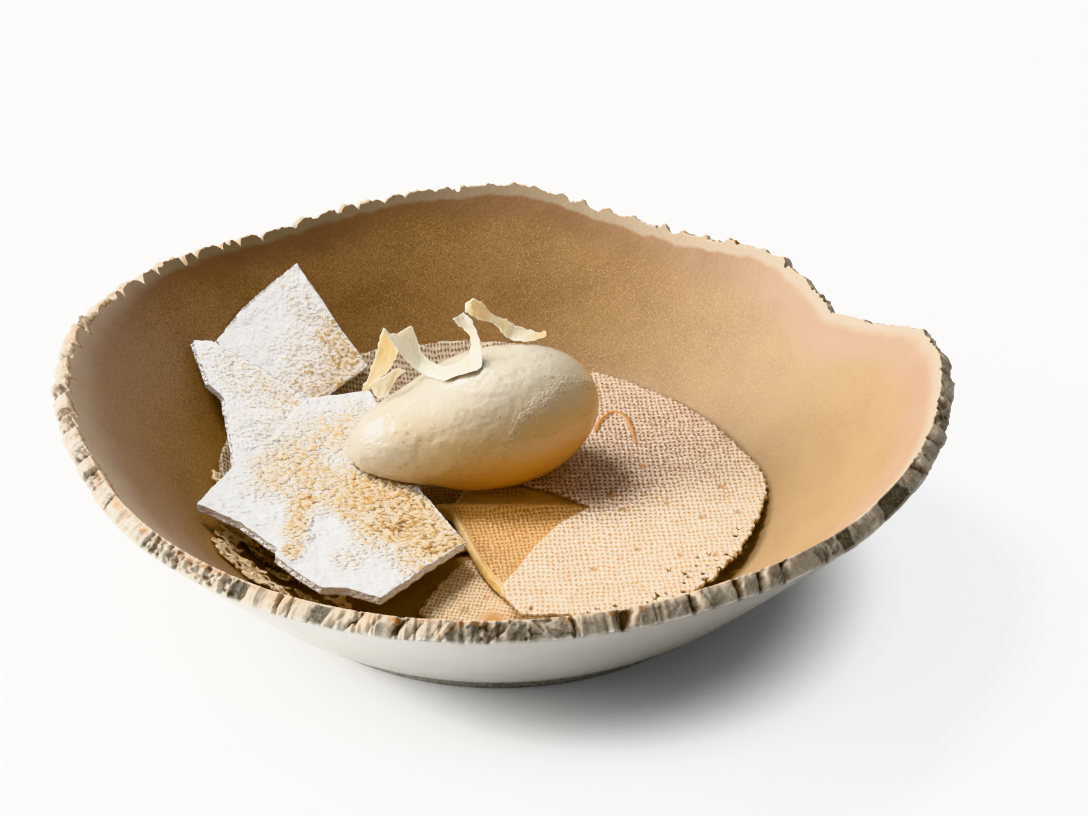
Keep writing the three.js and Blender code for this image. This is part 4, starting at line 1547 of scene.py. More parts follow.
@dataclass
class BaseWafer:
    """The dark lace wafer under everything, torn open and frayed at its lower left."""

    bowl: Bowl
    gap: float = 0.35
    thickness: float = 1.1
    shown_share: float = 0.8
    pitch: float = 0.54
    middle: Pair = (-3.0, 8.0)
    net: NetPattern = NetPattern(1.0, 1.5, 0.30, 10.0, 131, 0.08)
    reach: Line = (
        (0, 60), (30, 60), (58, 55), (72, 60), (85, 67), (105, 67.5), (125, 69), (150, 71),
        (172, 72), (190, 72.5), (205, 72.5), (217, 69), (228, 64), (236, 50), (246, 34),
        (262, 28), (285, 28), (310, 34), (340, 52),
    )

    def height(self, x: Array, y: Array) -> Array:
        """Height of the sheet's middle, lying on the bowl."""
        step, inside = 0.5, self.bowl.inside_height
        slope_x = (inside(x + step, y) - inside(x - step, y)) / (2 * step)
        slope_y = (inside(x, y + step) - inside(x, y - step)) / (2 * step)
        return inside(x, y) + (self.gap + self.thickness / 2) * np.sqrt(1 + slope_x**2 + slope_y**2)

    def build(self) -> Piece:
        """Makes and shows the wafer."""
        cx, cy = self.middle
        corners = [(cx + d * math.cos(math.radians(a)), cy + d * math.sin(math.radians(a)))
                   for a, d in self.reach]
        outline = Outline(corners).rounded(90)

        def edge(x: Array, y: Array) -> Array:
            """How far inside the outline the frayed edge lies."""
            frayed = smooth(-x, 20.0, 40.0) * smooth(-y, -12.0, 6.0)
            frayed = np.maximum(frayed, 0.22 * smooth(y, 40.0, 55.0))
            slow = 0.5 + 0.5 * grain(places(x, y), 6.0, 71, 3)
            quick = 0.5 + 0.5 * grain(places(x, y), 1.8, 73, 2)
            return 0.4 + frayed * (3.6 * slow + 1.8 * quick - 1.0).clip(0)

        def holes(x: Array, y: Array) -> Array:
            """Where holes pierce the torn lower left."""
            seen = np.maximum(smooth(y, 12.0, 30.0), smooth(-x, 24.0, 40.0) * smooth(-y, -8.0, 12.0))
            stray = 0.2 * grain(places(x, y), 4.0, 75)
            near, _, own, _ = cells(x / 2.2 + stray, y / 2.0, 0.95, 77)
            return (near < 0.12 + 0.12 * own) & (own > 0.62) & (seen > 0.5) & (y < 26)

        mesh, plan = cut_grid("lace_wafer_base", outline, self.pitch, edge, holes)
        x, y = plan.T
        net, running = self.net.relief(x, y)
        depth, _ = outline.depth(x, y)
        curl = fade(depth, 0.0, 7.0) * (0.5 + 0.5 * grain(plan, 5.0, 79, 2))
        z = self.height(x, y) + self.thickness / 2 + net + (0.9 - 0.7 * smooth(y, 10, 35)) * curl
        marks = {
            "net": np.ones_like(x),
            "caramel": 0.25 * smooth(grain(plan, 9.0, 81, 2), 0.2, 0.7),
            "bake_and_shade": np.clip(0.5 + 0.7 * grain(plan, 12.0, 83, 2) - 0.9 * smooth(y, 18, 40), 0, 1),
            **running,
        }
        thickness = self.thickness * self.shown_share
        return lay_sheet(
            mesh, places(x, y, z), marks, thickness, DARK_WAFER, ["lace_base"]
        )


@dataclass
class LaceScraps:
    """Flaky scraps of torn lace lying on the glaze in front of the shards."""

    bowl: Bowl
    thickness: float = 0.45
    pitch: float = 0.30
    lift: float = 1.2
    corners: Line = (
        (-75.5, 2.0), (-75.0, -9), (-73.5, -18), (-71.5, -25), (-71.0, -33.0), (-69.5, -40.0),
        (-65.0, -45.5), (-59.0, -50.0), (-52.0, -52.5), (-44, -50.5), (-36, -47.0), (-42, -38),
        (-50, -34), (-57, -28), (-63, -20), (-66, -8), (-68, 2),
    )

    def build(self) -> Piece:
        """Makes the scraps as one piece."""
        outline = Outline(self.corners)

        def edge(x: Array, y: Array) -> Array:
            """How far inside the outline their ragged ends lie."""
            plan = places(x, y)
            return 0.2 + 1.9 * grain(plan, 3.6, 501, 3) + 0.6 * grain(plan, 1.1, 503, 2)

        def holes(x: Array, y: Array) -> Array:
            """The long gaps that part them and the small holes in them."""
            along = places(0.75 * x - 0.66 * y, 2.2 * (0.66 * x + 0.75 * y))
            gaps = grain(along, 6.0, 505, 3) > 0.10
            near, _, own, _ = cells(x / 1.7, y / 1.5, 0.95, 507)
            return gaps | ((near < 0.26) & (own > 0.55))

        mesh, plan = cut_grid("lace_scraps", outline, self.pitch, edge, holes)
        x, y = plan.T
        curl = 1.0 + 1.1 * grain(plan, 3.0, 509, 2)
        # Painted light: the raised flakes are paler and less browned.
        pale = smooth(curl, 0.9, 1.7)
        marks = {"net": 0.5 * (1 - pale), "caramel": 0 * x, "bake_and_shade": 1 - 0.8 * pale,
                 "net_u": x / 1.3, "net_v": y / 1.2}
        points = places(x, y, self.bowl.inside_height(x, y) + self.lift + curl)
        return lay_sheet(mesh, points, marks, self.thickness, SCRAP_WAFER)


@dataclass
class Crumbs:
    """Grains of broken wafer scattered below the front shard."""

    bowl: Bowl
    count: int = 14
    size: Pair = (0.20, 0.42)
    uneven: Pair = (0.7, 1.3)
    start: Pair = (-48.0, -44.5)
    end: Pair = (-34.0, -46.5)
    spread: float = 2.4

    def build(self) -> Piece:
        """Makes the grains as one piece."""
        pile = bmesh.new()
        chance = np.random.default_rng(7)
        for _ in range(self.count):
            along, size = chance.random(), chance.uniform(*self.size)
            x, y = (self.start[k] + along * (self.end[k] - self.start[k])
                    + chance.normal() * self.spread / 2 for k in (0, 1))
            z = float(self.bowl.inside_height(np.array(x), np.array(y))) + 0.9 * size
            made = bmesh.ops.create_icosphere(pile, subdivisions=1, radius=size)["verts"]
            turn = Euler(chance.uniform(0, 3, 3)).to_matrix()
            bmesh.ops.scale(pile, vec=chance.uniform(*self.uneven, 3), verts=made)
            bmesh.ops.rotate(pile, matrix=turn, verts=made)
            bmesh.ops.translate(pile, vec=(x, y, z), verts=made)
        bmesh.ops.scale(pile, vec=(MM, MM, MM), verts=pile.verts)
        mesh = finished("wafer_crumbs", pile)
        none = np.zeros(len(mesh.vertices))
        mark(mesh, {name: none for name in ("net", "caramel", "bake_and_shade", "net_u", "net_v")})
        return present(mesh, [CRUMB_WAFER.build()])


@dataclass
class FrontWafer:
    """The lace wafer in front, under the fold and the right wafer."""

    base: BaseWafer
    thickness: float = 1.1
    pitch: float = 0.36
    net: NetPattern = NetPattern(1.05, 1.4, 0.32, -12.0, 151, 0.16)
    corners: Line = (
        (-20.5, -46.5), (-15.7, -34.5), (-9.4, -24), (10, -24), (30, -30), (34, -46),
        (20, -55), (-2, -56), (-14, -53),
    )
    drops: Sequence[Spot] = ((-8.4, -45.6, 1.6), (-11.5, -40.5, 1.0), (-3.2, -40.5, 1.0))

    def build(self) -> Piece:
        """Makes and shows the wafer."""

        def edge(x: Array, y: Array) -> Array:
            """How far inside the outline the torn left edge lies."""
            plan = places(x, y)
            left = smooth(-x, 8.0, 12.0)
            return 0.1 + left * (0.6 + 0.6 * grain(plan, 1.6, 91, 2) + 0.5 * grain(plan, 6.0, 93, 1))

        mesh, plan = cut_grid("lace_wafer_front", Outline(self.corners), self.pitch, edge)
        x, y = plan.T
        net, running = self.net.relief(x, y)
        glossy = np.exp(-(((x + 1.5) / 3.2) ** 2 + ((y + 50.5) / 3.6) ** 2) ** 1.5)
        dent = blisters(x, y, self.drops)
        z = self.base.height(x, y) + self.thickness / 2 + net * (1 - glossy) - 0.3 * dent
        z = z + 0.25 * grain(plan, 9.0, 95, 2)
        marks = {
            "net": 1 - glossy,
            "caramel": np.clip(0.85 * glossy + 0.5 * dent, 0, 1),
            "bake_and_shade": np.clip(0.45 + 0.6 * grain(plan, 8.0, 97, 2), 0, 1),
            **running,
        }
        return lay_sheet(
            mesh, places(x, y, z), marks, self.thickness, FRONT_WAFER, ["lace_front"]
        )


@dataclass
class CustardFold:
    """The folded custard sheet: browned skin on top, a thick shining side, and painted light on its ridge,
    rim and left corner.
    """

    middle: Pair = (4.0, -16.0)
    base: float = 12.85
    ridge: float = 0.55
    pleat: float = 0.6
    pleat_slant: float = 0.35
    valley: float = 0.9
    bulge: float = 1.2
    thickness: float = 4.0
    columns: int = 420
    layers: Layers = Layers(64, 12, 6)
    net: NetPattern = NetPattern(1.15, 1.55, 0.45, 8.0, 171, 0.10)
    corners: Line = (
        (-16.6, -4.4), (-12, -2.4), (-9, 6), (4, 11), (20, 10), (27, 2), (28, -12), (25, -30),
        (14, -43), (2.4, -44), (-1.7, -37.4), (-4.6, -31), (-8.6, -18.7), (-12.2, -8),
    )

    def past_pleat(self, x: Array, y: Array) -> Array:
        """Distance behind a line that runs as the second pleat does."""
        return y + self.pleat_slant * (x - 12)

    def height(self, x: Array, y: Array) -> Array:
        """Height of the fold's middle, with its ridge, second pleat and the valley between."""
        ridge = bell(y, -5.5, 1.5)
        pleat = bell(self.past_pleat(x, y), 1.8, 1.5) * smooth(x, 0.0, 8.0)
        raised = fade(x, 14.0, 24.0) * (self.ridge * ridge + self.pleat * pleat)
        return self.base + raised - self.valley * smooth(y, -4.8, -2.8) * fade(y, 6.0, 9.0)

    def build(self) -> Piece:
        """Makes and shows the fold."""
        line = Outline(self.corners).walk(self.columns)
        middle = np.array(self.middle)
        outward = line - middle
        outward /= np.linalg.norm(outward, axis=1)[:, None]

        def place(column: Array, row: Array) -> Marked:
            """Points and marks of the fold's skin."""
            over, side, _, reach = self.layers.split(row)
            bulging, outer = np.sin(math.pi * side), reach > 0.98
            plan = middle + (line[column] - middle) * (reach * (1 - 0.012 * (1 - bulging) * outer))[:, None]
            plan = plan + outward[column] * (self.bulge * bulging**0.8)[:, None] * outer[:, None]
            x, y = plan.T
            net, running = self.net.relief(x, y)
            top = (side <= 0) & (row <= self.layers.top)
            edge, rim = smooth(over, 0.94, 1.0), smooth(over, 0.90, 0.97)
            z = self.height(x, y) + self.thickness * (0.5 - side)
            z = z + np.where(top, net * (1 - edge) - 0.35 * edge**2, 0)
            z = z + np.where(side > 0, 0.12 * grain(places(x * 2, y * 2, z), 3.0, 177, 2), 0)
            crest = bell(y, -5.4, 0.7) * fade(x, 16.0, 24.0)
            hollow = between(y, -4.8, -3.4, 0.5, 3.5) * smooth(x, -14.0, -8.0)
            pleated = smooth(self.past_pleat(x, y), 0.2, 1.0) * smooth(x, 0.0, 6.0)
            corner = np.exp(-(((x + 14.5) / 5.0) ** 2 + ((y + 6.5) / 4.5) ** 2))
            net_shown = (1 - rim) * (1 - 0.8 * crest) * (1 - 0.7 * pleated) * (1 - 0.9 * hollow)
            # Painted light: the ridge, the rim and the left corner are kept paler; the browning grows
            # towards the back.
            bake_and_shade = 0.75 * smooth(y, -34.0, -6.0) * (1 - crest) * (1 - rim) * (1 - corner)
            return places(x, y, z), {
                **running,
                "net": np.where(top, net_shown, 0.0),
                # A little painted shade in the hollow behind the ridge, where the browning is also eased.
                "caramel": np.where(top, 0.12 * hollow, 0.0),
                "bake_and_shade": np.clip(bake_and_shade * (1 - 0.6 * hollow), 0, 1),
                "browned": 0.5 * (side > 0.85),
                "skin_side": smooth(y, -33.0, -25.0),
                "side": side,
            }

        mesh = closed_skin("custard_sheet_fold", self.columns, self.layers.total, place)
        finishes = [BAKED_CUSTARD.build(), Custard().build()]
        piece = present(mesh, finishes, ["custard_fold"])
        use_materials(mesh, face_marks(mesh, "side", np.maximum) > 0)
        return piece


# ---------------------------------------- meringue shards


@dataclass
class Shard:
    """A broken piece of dried meringue, lying in its own leaning plane.

    The plane's height is at0 over the origin, and it climbs by per_x and per_y along the
    axes. Each scorch has a middle, a radius and a heat from 0 to 1.
    """

    name: str
    node: str
    at0: float
    per_x: float
    per_y: float
    thickness: float
    middle: Pair
    corners: Line
    scorches: Sequence[Tuple[float, float, float, float]]
    columns: int
    layers: Layers
    seed: int
    shade: float
    rough: float = 1.0
    ridge_turn: float = 8.0

    def toasted(self, x: Array, y: Array) -> Array:
        """How toasted each place is, 0 to 1, from the spots where the flame passed."""
        cool = np.ones_like(x)
        for cx, cy, radius, heat in self.scorches:
            spot = heat * fade(np.hypot(x - cx, y - cy), 0.2 * radius, 1.15 * radius)
            cool = cool * (1 - spot)
        blots = grain(places(x, y), 9.0, self.seed + 1, 3)
        return np.clip((1 - cool) * (1 + 0.35 * blots), 0, 1)

    def build(self, finish: Material) -> Piece:
        """Makes and shows the shard."""
        line = Outline(self.corners).walk(self.columns)
        middle = np.array(self.middle)
        normal = np.array([-self.per_x, -self.per_y, 1.0])
        normal /= np.linalg.norm(normal)
        ragged = 0.30 * grain(line, 2.2, self.seed + 5, 3)
        outward = line - middle
        outward /= np.linalg.norm(outward, axis=1)[:, None]
        line = line - outward * (0.28 + ragged)[:, None]

        def place(column: Array, row: Array) -> Marked:
            """Points and marks of the shard's skin."""
            over, side, under, reach = self.layers.split(row)
            plan = middle + (line[column] - middle) * reach[:, None]
            x, y = plan.T
            relief, ridge = self.ridges(x, y)
            edge, top = smooth(over, 0.975, 1.0), row <= self.layers.top
            up = self.thickness * (0.5 - side) + np.where(top, relief * (1 - edge) - 0.2 * edge, 0)
            up = up - np.where(under > 0, 0.25 * grain(plan, 3.0, self.seed + 8, 2) * (1 - reach), 0)
            crumb = grain(places(x, y, 4 * side), 0.9, self.seed + 6, 3)
            inset = np.where((side > 0) & (side < 1), 0.32 * crumb - 0.26 * np.sin(math.pi * side), 0)
            points = places(x, y, self.at0 + self.per_x * x + self.per_y * y) + normal * up[:, None]
            points[:, :2] = points[:, :2] + outward[column] * inset[:, None]
            heat = self.toasted(x, y)
            toast = np.where(top, heat * (0.9 + 0.15 * ridge) * (1 - 0.8 * edge), 0.0)
            worked = self.rough**2 * (0.15 + 0.85 * smooth(heat, 0.05, 0.35))
            return points, {
                "toast": np.clip(toast, 0, 1),
                "worked": np.where(top, worked, 0.9),
                # Painted light: the front shard's top is painted greyer; the sides stay nearly white.
                "shade": np.where(top, self.shade, 0.15),
            }

        mesh = closed_skin(self.name, self.columns, self.layers.total, place)
        return present(mesh, [finish], [self.node])

    def ridges(self, x: Array, y: Array) -> Tuple[Array, Array]:
        """Short wavy scales raised by the palette knife.

        Args:
            x: Places along X.
            y: Places along Y.

        Returns:
            Their relief, and 0 to 1 on their crests.
        """
        plan = places(x, y)
        u, v = turned(x, y, self.ridge_turn)
        v = v + 0.7 * grain(places(u, v), 3.5, self.seed + 2, 2)
        crest = smooth(grain(places(u / 1.6, v / 0.95), 1.0, self.seed + 3, 2), -0.5, 0.7)
        finer = grain(places(u / 1.2, v / 0.7), 1.0, self.seed + 4, 1)
        strength = self.rough**3 * (0.4 + 0.6 * smooth(grain(plan, 8.0, self.seed + 12, 2), -0.4, 0.5))
        broad = grain(plan, 9.0, self.seed + 7, 2)
        dents = 0.16 * self.rough * grain(plan, 3.4, self.seed + 13, 2)
        return strength * (0.36 * crest + 0.08 * finer) + 0.25 * broad + dents - 0.28, crest * strength


SHARDS: Sequence[Shard] = (
    Shard(
        "meringue_shard_front", "meringue_front", at0=16.9, per_x=-0.13, per_y=-0.005,
        thickness=2.4, middle=(-43.0, -14.0), columns=600, layers=Layers(88, 7, 12), seed=201,
        shade=1.0,
        corners=(
            (-77, -24.2), (-65.8, -30.7), (-55.3, -40.6), (-55.6, -43.8), (-49.7, -49.4),
            (-43.3, -55.2), (-36.2, -54.5), (-28.3, -56.9), (-18.6, -42.6), (-8.6, -28.7),
            (-20.6, -6.7), (-28.7, 18.1), (-37.1, 41.8), (-45.1, 37.9), (-53.5, 33.9),
            (-56.3, 28.4), (-61.3, 12.2), (-69.2, -2.7),
        ),
        scorches=(
            (-43, -11, 14, 0.6), (-32, -17, 14, 0.75), (-21, -25, 13, 0.85), (-13, -31, 10, 0.85),
            (-31, -3, 13, 0.6), (-22, -12, 8, 0.7), (-20, -40, 10, 0.55), (-30, -32, 11, 0.45),
            (-57, -2, 16, 0.45), (-46, 16, 18, 0.45), (-50, -18, 5.0, 0.45), (-51, -23, 5.5, 0.5),
            (-51.5, -28, 5.0, 0.45), (-51, -33, 5.5, 0.55), (-51, -38, 4.5, 0.5),
            (-52, -42, 4.5, 0.5), (-60, -15, 9, 0.25), (-38, -42, 7, 0.3), (-36, 30, 10, 0.35),
        ),
    ),
    Shard(
        "meringue_shard_left", "meringue_left", at0=-22.5, per_x=-0.623, per_y=0.248,
        thickness=2.0, middle=(-69.0, 25.0), columns=380, layers=Layers(50, 7, 12), seed=221,
        shade=0.0, rough=0.7, ridge_turn=15.0,
        corners=(
            (-84.9, 38.4), (-80.5, 41.4), (-68.9, 41.7), (-54, 38.6), (-55.5, 30), (-60, 17),
            (-66.5, 4), (-70.7, 1), (-71.9, 9), (-74.1, 17.2), (-75.8, 23.7), (-79.6, 25.7),
            (-83.2, 34),
        ),
        scorches=(
            (-62, 28, 20, 0.22), (-76, 36, 14, 0.22), (-66, 12, 12, 0.24), (-59, 36, 8, 0.26),
        ),
    ),
    Shard(
        "meringue_shard_back", "meringue_back", at0=-40.3, per_x=-0.609, per_y=0.609,
        thickness=1.8, middle=(-61.0, 55.0), columns=400, layers=Layers(60, 7, 12), seed=241,
        shade=0.0, rough=0.6, ridge_turn=5.0,
        corners=(
            (-59.5, 77.7), (-72.2, 59.8), (-79.4, 45.4), (-75, 40), (-56.5, 35.5),
            (-50.5, 44), (-38.5, 59.6), (-46.8, 66.1), (-53.7, 72.6),
        ),
        scorches=(
            (-43, 57, 12, 0.50), (-50, 47, 11, 0.52), (-57, 42, 9, 0.42), (-47, 64, 9, 0.40),
            (-55, 57, 11, 0.28), (-59, 69, 9, 0.24), (-61, 50, 9, 0.2),
        ),
    ),
)


# ---------------------------------------- ice cream and curls


@dataclass
class Scoop:
    """The oval of ice cream, settled on the wafers and the front shard."""

    shard: Shard
    tip: Spot = (-40.6, 3.0, 25.0)
    end: Spot = (25.4, 15.0, 38.0)
    radius: float = 18.3
    tallness: float = 1.03
    tip_power: float = 0.786
    end_power: float = 0.525
    nose: float = 2.0
    seat: float = 17.2
    shard_gap: float = 0.45
    shard_end: Pair = (-28.7, 18.1)
    past_shard: Pair = (0.9276, 0.3737)
    columns: int = 220
    rows: int = 150

    def floor(self, x: Array, y: Array) -> Array:
        """Height of what the oval lies on: the front shard, and beyond its edge the fold."""
        along, aside = self.past_shard
        beyond = (x - self.shard_end[0]) * along + (y - self.shard_end[1]) * aside
        leaning = self.shard.at0 + self.shard.per_x * x + self.shard.per_y * y
        top = leaning + self.shard.thickness / 2 + self.shard_gap
        return top + (self.seat - top) * smooth(beyond, 3.0, 11.0)

    def build(self) -> Piece:
        """Makes and shows the ice cream."""
        tip, end = np.array(self.tip), np.array(self.end)
        axis = end - tip
        across = np.cross([0.0, 0.0, 1.0], axis)
        across /= np.linalg.norm(across)
        up = np.cross(axis, across)
        up /= np.linalg.norm(up)
        peak = self.tip_power / (self.tip_power + self.end_power)

        def swell(s: Array) -> Array:
            """How wide the oval is at a place along it, before scaling."""
            return s**self.tip_power * (1 - s) ** self.end_power

        def place(column: Array, row: Array) -> Marked:
            """Points and marks of the oval's skin."""
            s = (1 - np.cos(math.pi * row / self.rows)) / 2
            wide = self.radius * swell(np.clip(s, 0, 1)) / swell(np.array(peak))
            wide = wide + self.nose * smooth(s, 0.0, 0.05) * fade(s, 0.06, 0.34)
            angle = -2 * math.pi * column / self.columns
            raised, frost = self.relief(s, np.degrees(angle) % 360)
            grown = wide + raised * between(s, 0.0, 0.03, 0.98, 1.0)
            points = tip + axis * s[:, None] + across * (grown * np.cos(angle))[:, None]
            points = points + up * (grown * self.tallness * np.sin(angle))[:, None]
            x, y, z = points.T
            floor = self.floor(x, y)
            settled = 0.5 * (z + floor + np.sqrt((z - floor) ** 2 + 0.35))
            z = np.where(z > floor + 3.0, z, settled)
            # Painted light: low down is marked for painted shade and painted reflection of the wafers'
            # orange, the top and the tip for a paler colour.
            low = fade(z - 0.24 * x - 0.10 * y, 20.0, 40.0)
            low = low * (0.25 + 0.75 * smooth(x, -38.0, -6.0))
            painted_lit_top = np.maximum(smooth(z - 0.25 * x, 36.0, 50.0), fade(x, -36.0, -12.0))
            return places(x, y, z), {"low": low, "frost": frost, "painted_lit_top": painted_lit_top}

        mesh = closed_skin("ice_cream_oval", self.columns, self.rows, place)
        return present(mesh, [IceCream().build()], ["ice_cream"])

    @staticmethod
    def relief(s: Array, degrees: Array) -> Tuple[Array, Array]:
        """Drag lines, soft dents and the rough crest.

        Args:
            s: Place along the oval, 0 at its tip.
            degrees: Angle round it; 90 is its top and 180 its front.

        Returns:
            Height over the plain oval, and how frosty each place is.
        """
        u, v = s * 66.0, np.radians(degrees) * 17.0
        plan = places(u, v)
        lines = grain(places(u / 14.0, v / 0.8), 1.0, 301, 3)
        dents, lumps = grain(plan, 16.0, 305, 2), grain(plan, 4.0, 317, 3)
        crest_at = 176.0 - 52.0 * smooth(s, 0.50, 0.95) + 7.0 * grain(places(u, 0), 9.0, 307, 3)
        crest = np.exp(-(((degrees - crest_at) / 7.0) ** 2)) * smooth(s, 0.50, 0.64)
        ragged = crest * (0.55 + 0.45 * grain(plan, 1.4, 309, 3))
        right = smooth(s, 0.66, 0.95) * smooth(grain(plan, 5.0, 311, 2), -0.5, 0.6)
        near, _, own, _ = cells(u / 2.6, v / 2.6, 0.95, 313)
        pits = fade(near, 0.06, 0.17) * (own > 0.62)
        dragged = fade(s, 0.25, 0.55)
        height = 0.02 * lines + 0.34 * dents + 0.22 * ragged - 0.28 * pits + 0.10 * dragged * lumps
        height = height + 0.07 * grain(places(u / 1.3, v), 4.5, 319, 3)
        height = height + 0.06 * right * grain(plan, 1.3, 315, 3)
        return height, np.clip(1.7 * ragged + 0.12 * right, 0, 1)


@dataclass
class Ribbon:
    """One curl of dried milk skin between two edges in space."""

    name: str
    node: str
    stations: Sequence[Tuple[Spot, Spot]]
    amber: Line
    rows: int
    seed: int
    crisp: float = 0.65
    thickness: float = 0.5
    columns: int = 32

    def edge(self, which: int, t: Array) -> Array:
        """One edge: its smooth curve drawn towards the straight lines between stations."""
        points = np.array([station[which] for station in self.stations], float)
        at = np.linspace(0, 1, len(points))
        straight = np.column_stack([np.interp(t, at, points[:, k]) for k in range(3)])
        return self.crisp * straight + (1 - self.crisp) * even_spline(points, t)

    def build(self, finish: Material) -> Piece:
        """Makes and shows the curl."""
        t = np.clip((np.arange(self.rows + 1) - 1) / (self.rows - 2), 0, 1)
        a, b = self.edge(0, t), self.edge(1, t)
        along = np.gradient(a + b, axis=0)
        for _ in range(3):
            along[1:-1] = (along[:-2] + 2 * along[1:-1] + along[2:]) / 4
        face = np.cross(b - a, along)
        face /= np.maximum(np.linalg.norm(face, axis=1), 1e-9)[:, None]
        width = np.linalg.norm(b - a, axis=1)
        length = np.concatenate([[0], np.cumsum(np.linalg.norm(np.diff(a + b, axis=0), axis=1) / 2)])
        half = self.columns // 2
        tint = np.array(self.amber, float)

        def place(column: Array, row: Array) -> Marked:
            """Points and marks of the curl's skin: its front face out and its back one home."""
            front = column < half
            step = np.where(front, column, self.columns - 1 - column) / (half - 1)
            pole = (row == 0) | (row == self.rows)
            across = np.where(pole, 0.5, 0.5 - 0.5 * np.cos(math.pi * step))
            belly = np.sin(math.pi * across)
            plan = places(length[row], across * width[row])
            wrinkle = 0.32 * grain(plan, 2.6, self.seed, 3) * (0.4 + 0.6 * belly)
            thin = self.thickness / 2 * (0.30 + 0.70 * belly**0.5)
            lift = np.where(pole, 0.0, np.where(front, thin, -thin)) + wrinkle
            lift = lift - 0.07 * width[row] * belly
            torn_edge = 0.35 * grain(places(length[row], 0), 1.1, self.seed + 1, 2)
            sideways = torn_edge * np.where(across > 0.5, 1, -1) * (np.abs(across - 0.5) > 0.3)
            shift = across + sideways / np.maximum(width[row], 1.5)
            points = a[row] + (b[row] - a[row]) * shift[:, None] + face[row] * lift[:, None]
            amber = np.interp(t[row], tint[:, 0], tint[:, 1])
            amber = amber * np.where(np.abs(across - 0.5) > 0.44, 0.45, 1.0)
            return points, {"amber": np.clip(amber, 0, 1)}

        mesh = closed_skin(self.name, self.columns, self.rows, place)
        return present(mesh, [finish], [self.node])


CURLS: Sequence[Ribbon] = (
    Ribbon(
        "milk_curl_left", "curl_left",
        (
            ((-36.7, 11, 40.3), (-35.2, 10.5, 40.5)), ((-34.9, 11, 44.9), (-31.9, 9.5, 44.6)),
            ((-33.1, 11, 49.1), (-29, 9, 48.3)), ((-31.7, 10.5, 55.3), (-27.2, 8.5, 51.6)),
            ((-30.2, 9.5, 60.1), (-26.5, 8, 54.1)), ((-28.4, 10.5, 57.7), (-26.1, 8.3, 53.2)),
            ((-25.9, 12, 57.7), (-24.9, 8.8, 50.9)), ((-23.3, 13.5, 58.7), (-23.3, 9, 49)),
            ((-22.1, 13.5, 55.3), (-21.2, 8.5, 47.3)), ((-20.9, 13, 51.2), (-18.2, 6.3, 47.2)),
            ((-18.6, 12, 48.7), (-14.6, 3, 48.4)), ((-14.5, 7.8, 49.5), (-9.7, 2.8, 50.3)),
            ((-10.5, 7.4, 51), (-6.8, 3.1, 51.1)), ((-8.3, 11, 51.4), (-5.1, 4.2, 51.5)),
            ((-7.6, 11, 54.3), (-4.9, 7, 53.3)), ((-8.1, 10.5, 57.5), (-5.3, 8, 57.1)),
            ((-9.7, 10, 59.7), (-6.5, 9, 60.7)), ((-11.3, 9.5, 61.2), (-8, 10, 63)),
            ((-12.5, 9.5, 62.7), (-9.4, 11, 64)),
        ),
        ((0, 0.5), (0.2, 0.75), (0.23, 0.12), (0.5, 0.1), (0.66, 0.3), (0.75, 0.12), (1, 0.15)),
        rows=260, seed=401,
    ),
    Ribbon(
        "milk_curl_small", "curl_small",
        (
            ((-34.8, 8.5, 43.5), (-33.5, 8.3, 41.3)), ((-32.1, 7.6, 45.7), (-32.3, 8, 40.1)),
            ((-29.4, 6.8, 47.9), (-30.8, 7.4, 40.2)), ((-26.6, 6.3, 50), (-29.8, 7.2, 40.9)),
            ((-24.6, 8.6, 48), (-28.5, 7.8, 43.9)),
        ),
        ((0, 0.3), (0.6, 0.25), (0.76, 0.4), (0.8, 0.12), (1, 0.3)),
        rows=80, seed=411,
    ),
    Ribbon(
        "milk_curl_right", "curl_right",
        (
            ((-9.2, 17, 62.9), (-9.3, 14.5, 62.4)), ((-7.3, 17.3, 64.8), (-8.2, 14.3, 61.2)),
            ((-5.5, 17.5, 63.8), (-6.2, 14.6, 59.9)), ((-4, 17.6, 61.9), (-4.4, 15.5, 59)),
            ((-2.8, 17.6, 59.8), (-3.1, 16.4, 58.4)), ((-0.8, 19, 58.4), (-1.7, 17, 56.8)),
            ((1.4, 20.4, 56.6), (0.1, 17.6, 54.4)), ((3.6, 21.3, 54.6), (1.7, 18.2, 52)),
            ((6.5, 22.2, 52.6), (4.7, 17.2, 51.9)), ((9.5, 22, 51.7), (8.4, 18.2, 51.3)),
            ((11.7, 21.5, 52.4), (11.9, 19.4, 52.1)),
        ),
        ((0, 0.3), (0.1, 0.6), (0.36, 0.55), (0.44, 0.2), (0.86, 0.35), (1, 1.2)),
        rows=150, seed=421,
    ),
)


# ---------------------------------------- studio


@dataclass(frozen=True)
class Lamp:
    """A soft square light aimed at the dish, placed by angles in degrees.

    Its size and distance are in metres and its power in watts.
    """

    name: str
    azimuth: float
    elevation: float
    size: float
    power: float
    tint: Colour
    distance: float = 1.3
    aim: Spot = (0.0, 0.0, 0.02)

    def build(self) -> None:
        """Lights the lamp."""
        data = bpy.data.lights.new(self.name, "AREA")
        data.shape = "SQUARE"
        data.size = self.size
        data.energy = self.power
        data.color = self.tint
        lamp = linked(self.name, data)
        a, e = math.radians(self.azimuth), math.radians(self.elevation)
        away = Vector((math.cos(a) * math.cos(e), math.sin(a) * math.cos(e), math.sin(e)))
        lamp.location = Vector(self.aim) + away * self.distance
        lamp.rotation_euler = (-away).to_track_quat("-Z", "Y").to_euler()


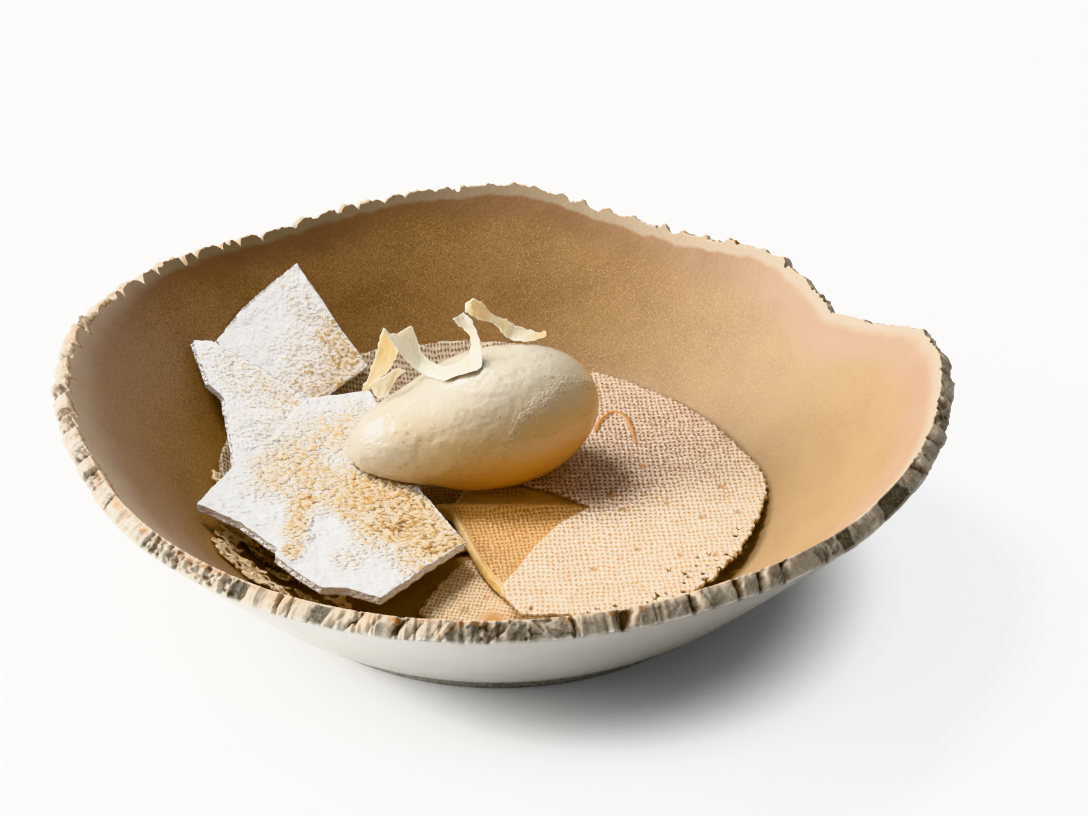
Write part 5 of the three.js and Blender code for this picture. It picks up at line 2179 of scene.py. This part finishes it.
@dataclass
class Studio:
    """Pale floor, soft lights and the camera. The floor glows as painted light away from the dish, leaving
    a darker patch round it that stands in for its shadow.
    """

    target: Spot = (11.2, -5.5, 45.0)
    distance: float = 640.0
    elevation: float = 31.0
    lens: float = 82.66
    sensor: float = 36.0
    floor_half: float = 6.0
    floor_colour: Colour = (0.86, 0.86, 0.86)
    glow: float = 0.76
    glow_reach: Pair = (0.064, 0.100)
    shade_middle: Spot = (0.008, -0.010, 0.0)
    sky: Colour = (0.93, 0.96, 1.0)
    sky_strength: float = 0.42
    lamps: Sequence[Lamp] = (
        Lamp("window", 177.0, 18.0, 0.9, 47.0, (1.0, 0.985, 0.96)),
        Lamp("key", 146.0, 62.0, 0.45, 18.5, (1.0, 0.975, 0.94)),
    )

    def floor(self) -> None:
        """Lays a wide pale floor under the dish, glowing as painted light away from it."""
        sheet = bmesh.new()
        bmesh.ops.create_grid(sheet, x_segments=2, y_segments=2, size=self.floor_half)
        ground = linked("floor", finished("floor", sheet))
        g = Graph("pale_floor")
        # Painted light: the glow grows with distance from a point near the dish.
        away = g.node("VectorMath", {0: g.place, 1: self.shade_middle}, operation="DISTANCE")
        glow = g.times(g.step(away.outputs["Value"], *self.glow_reach), self.glow)
        g.paint(self.floor_colour, 0.9, 0.1)
        g.surface(Emission_Color=(1.0, 1.0, 1.0), Emission_Strength=glow)
        ground.data.materials.append(g.material)

    def camera(self) -> None:
        """Sets the camera, looking along +Y and down at the dish."""
        data = bpy.data.cameras.new("view")
        data.lens = self.lens
        data.sensor_width = self.sensor
        data.clip_start, data.clip_end = 0.01, 20.0
        camera = linked("view", data)
        e = math.radians(self.elevation)
        back = Vector((0.0, -math.cos(e), math.sin(e)))
        camera.location = Vector(self.target) * MM + back * self.distance * MM
        camera.rotation_euler = (-back).to_track_quat("-Z", "Y").to_euler()
        bpy.context.scene.camera = camera

    def build(self) -> None:
        """Sets the floor, the lights, the world and the camera."""
        self.floor()
        for lamp in self.lamps:
            lamp.build()
        world = bpy.data.worlds.new("studio")
        world.use_nodes = True
        sky = world.node_tree.nodes["Background"]
        sky.inputs[0].default_value = (*self.sky, 1.0)
        sky.inputs[1].default_value = self.sky_strength
        bpy.context.scene.world = world
        bpy.context.scene.view_settings.view_transform = "Khronos PBR Neutral"
        self.camera()


def main() -> None:
    """Builds the studio and the dish in order."""
    logging.basicConfig(level=logging.INFO, format="%(message)s")
    Studio().build()
    bowl = Bowl()
    bowl.build()
    base = BaseWafer(bowl)
    base.build()
    LaceScraps(bowl).build()
    Crumbs(bowl).build()
    FrontWafer(base).build()
    RightWafer().build()
    CustardFold().build()
    meringue = Meringue().build()
    for shard in SHARDS:
        shard.build(meringue)
    Scoop(SHARDS[0]).build()
    milk = DriedMilk().build()
    for curl in CURLS:
        curl.build(milk)


if __name__ == "__main__":
    main()
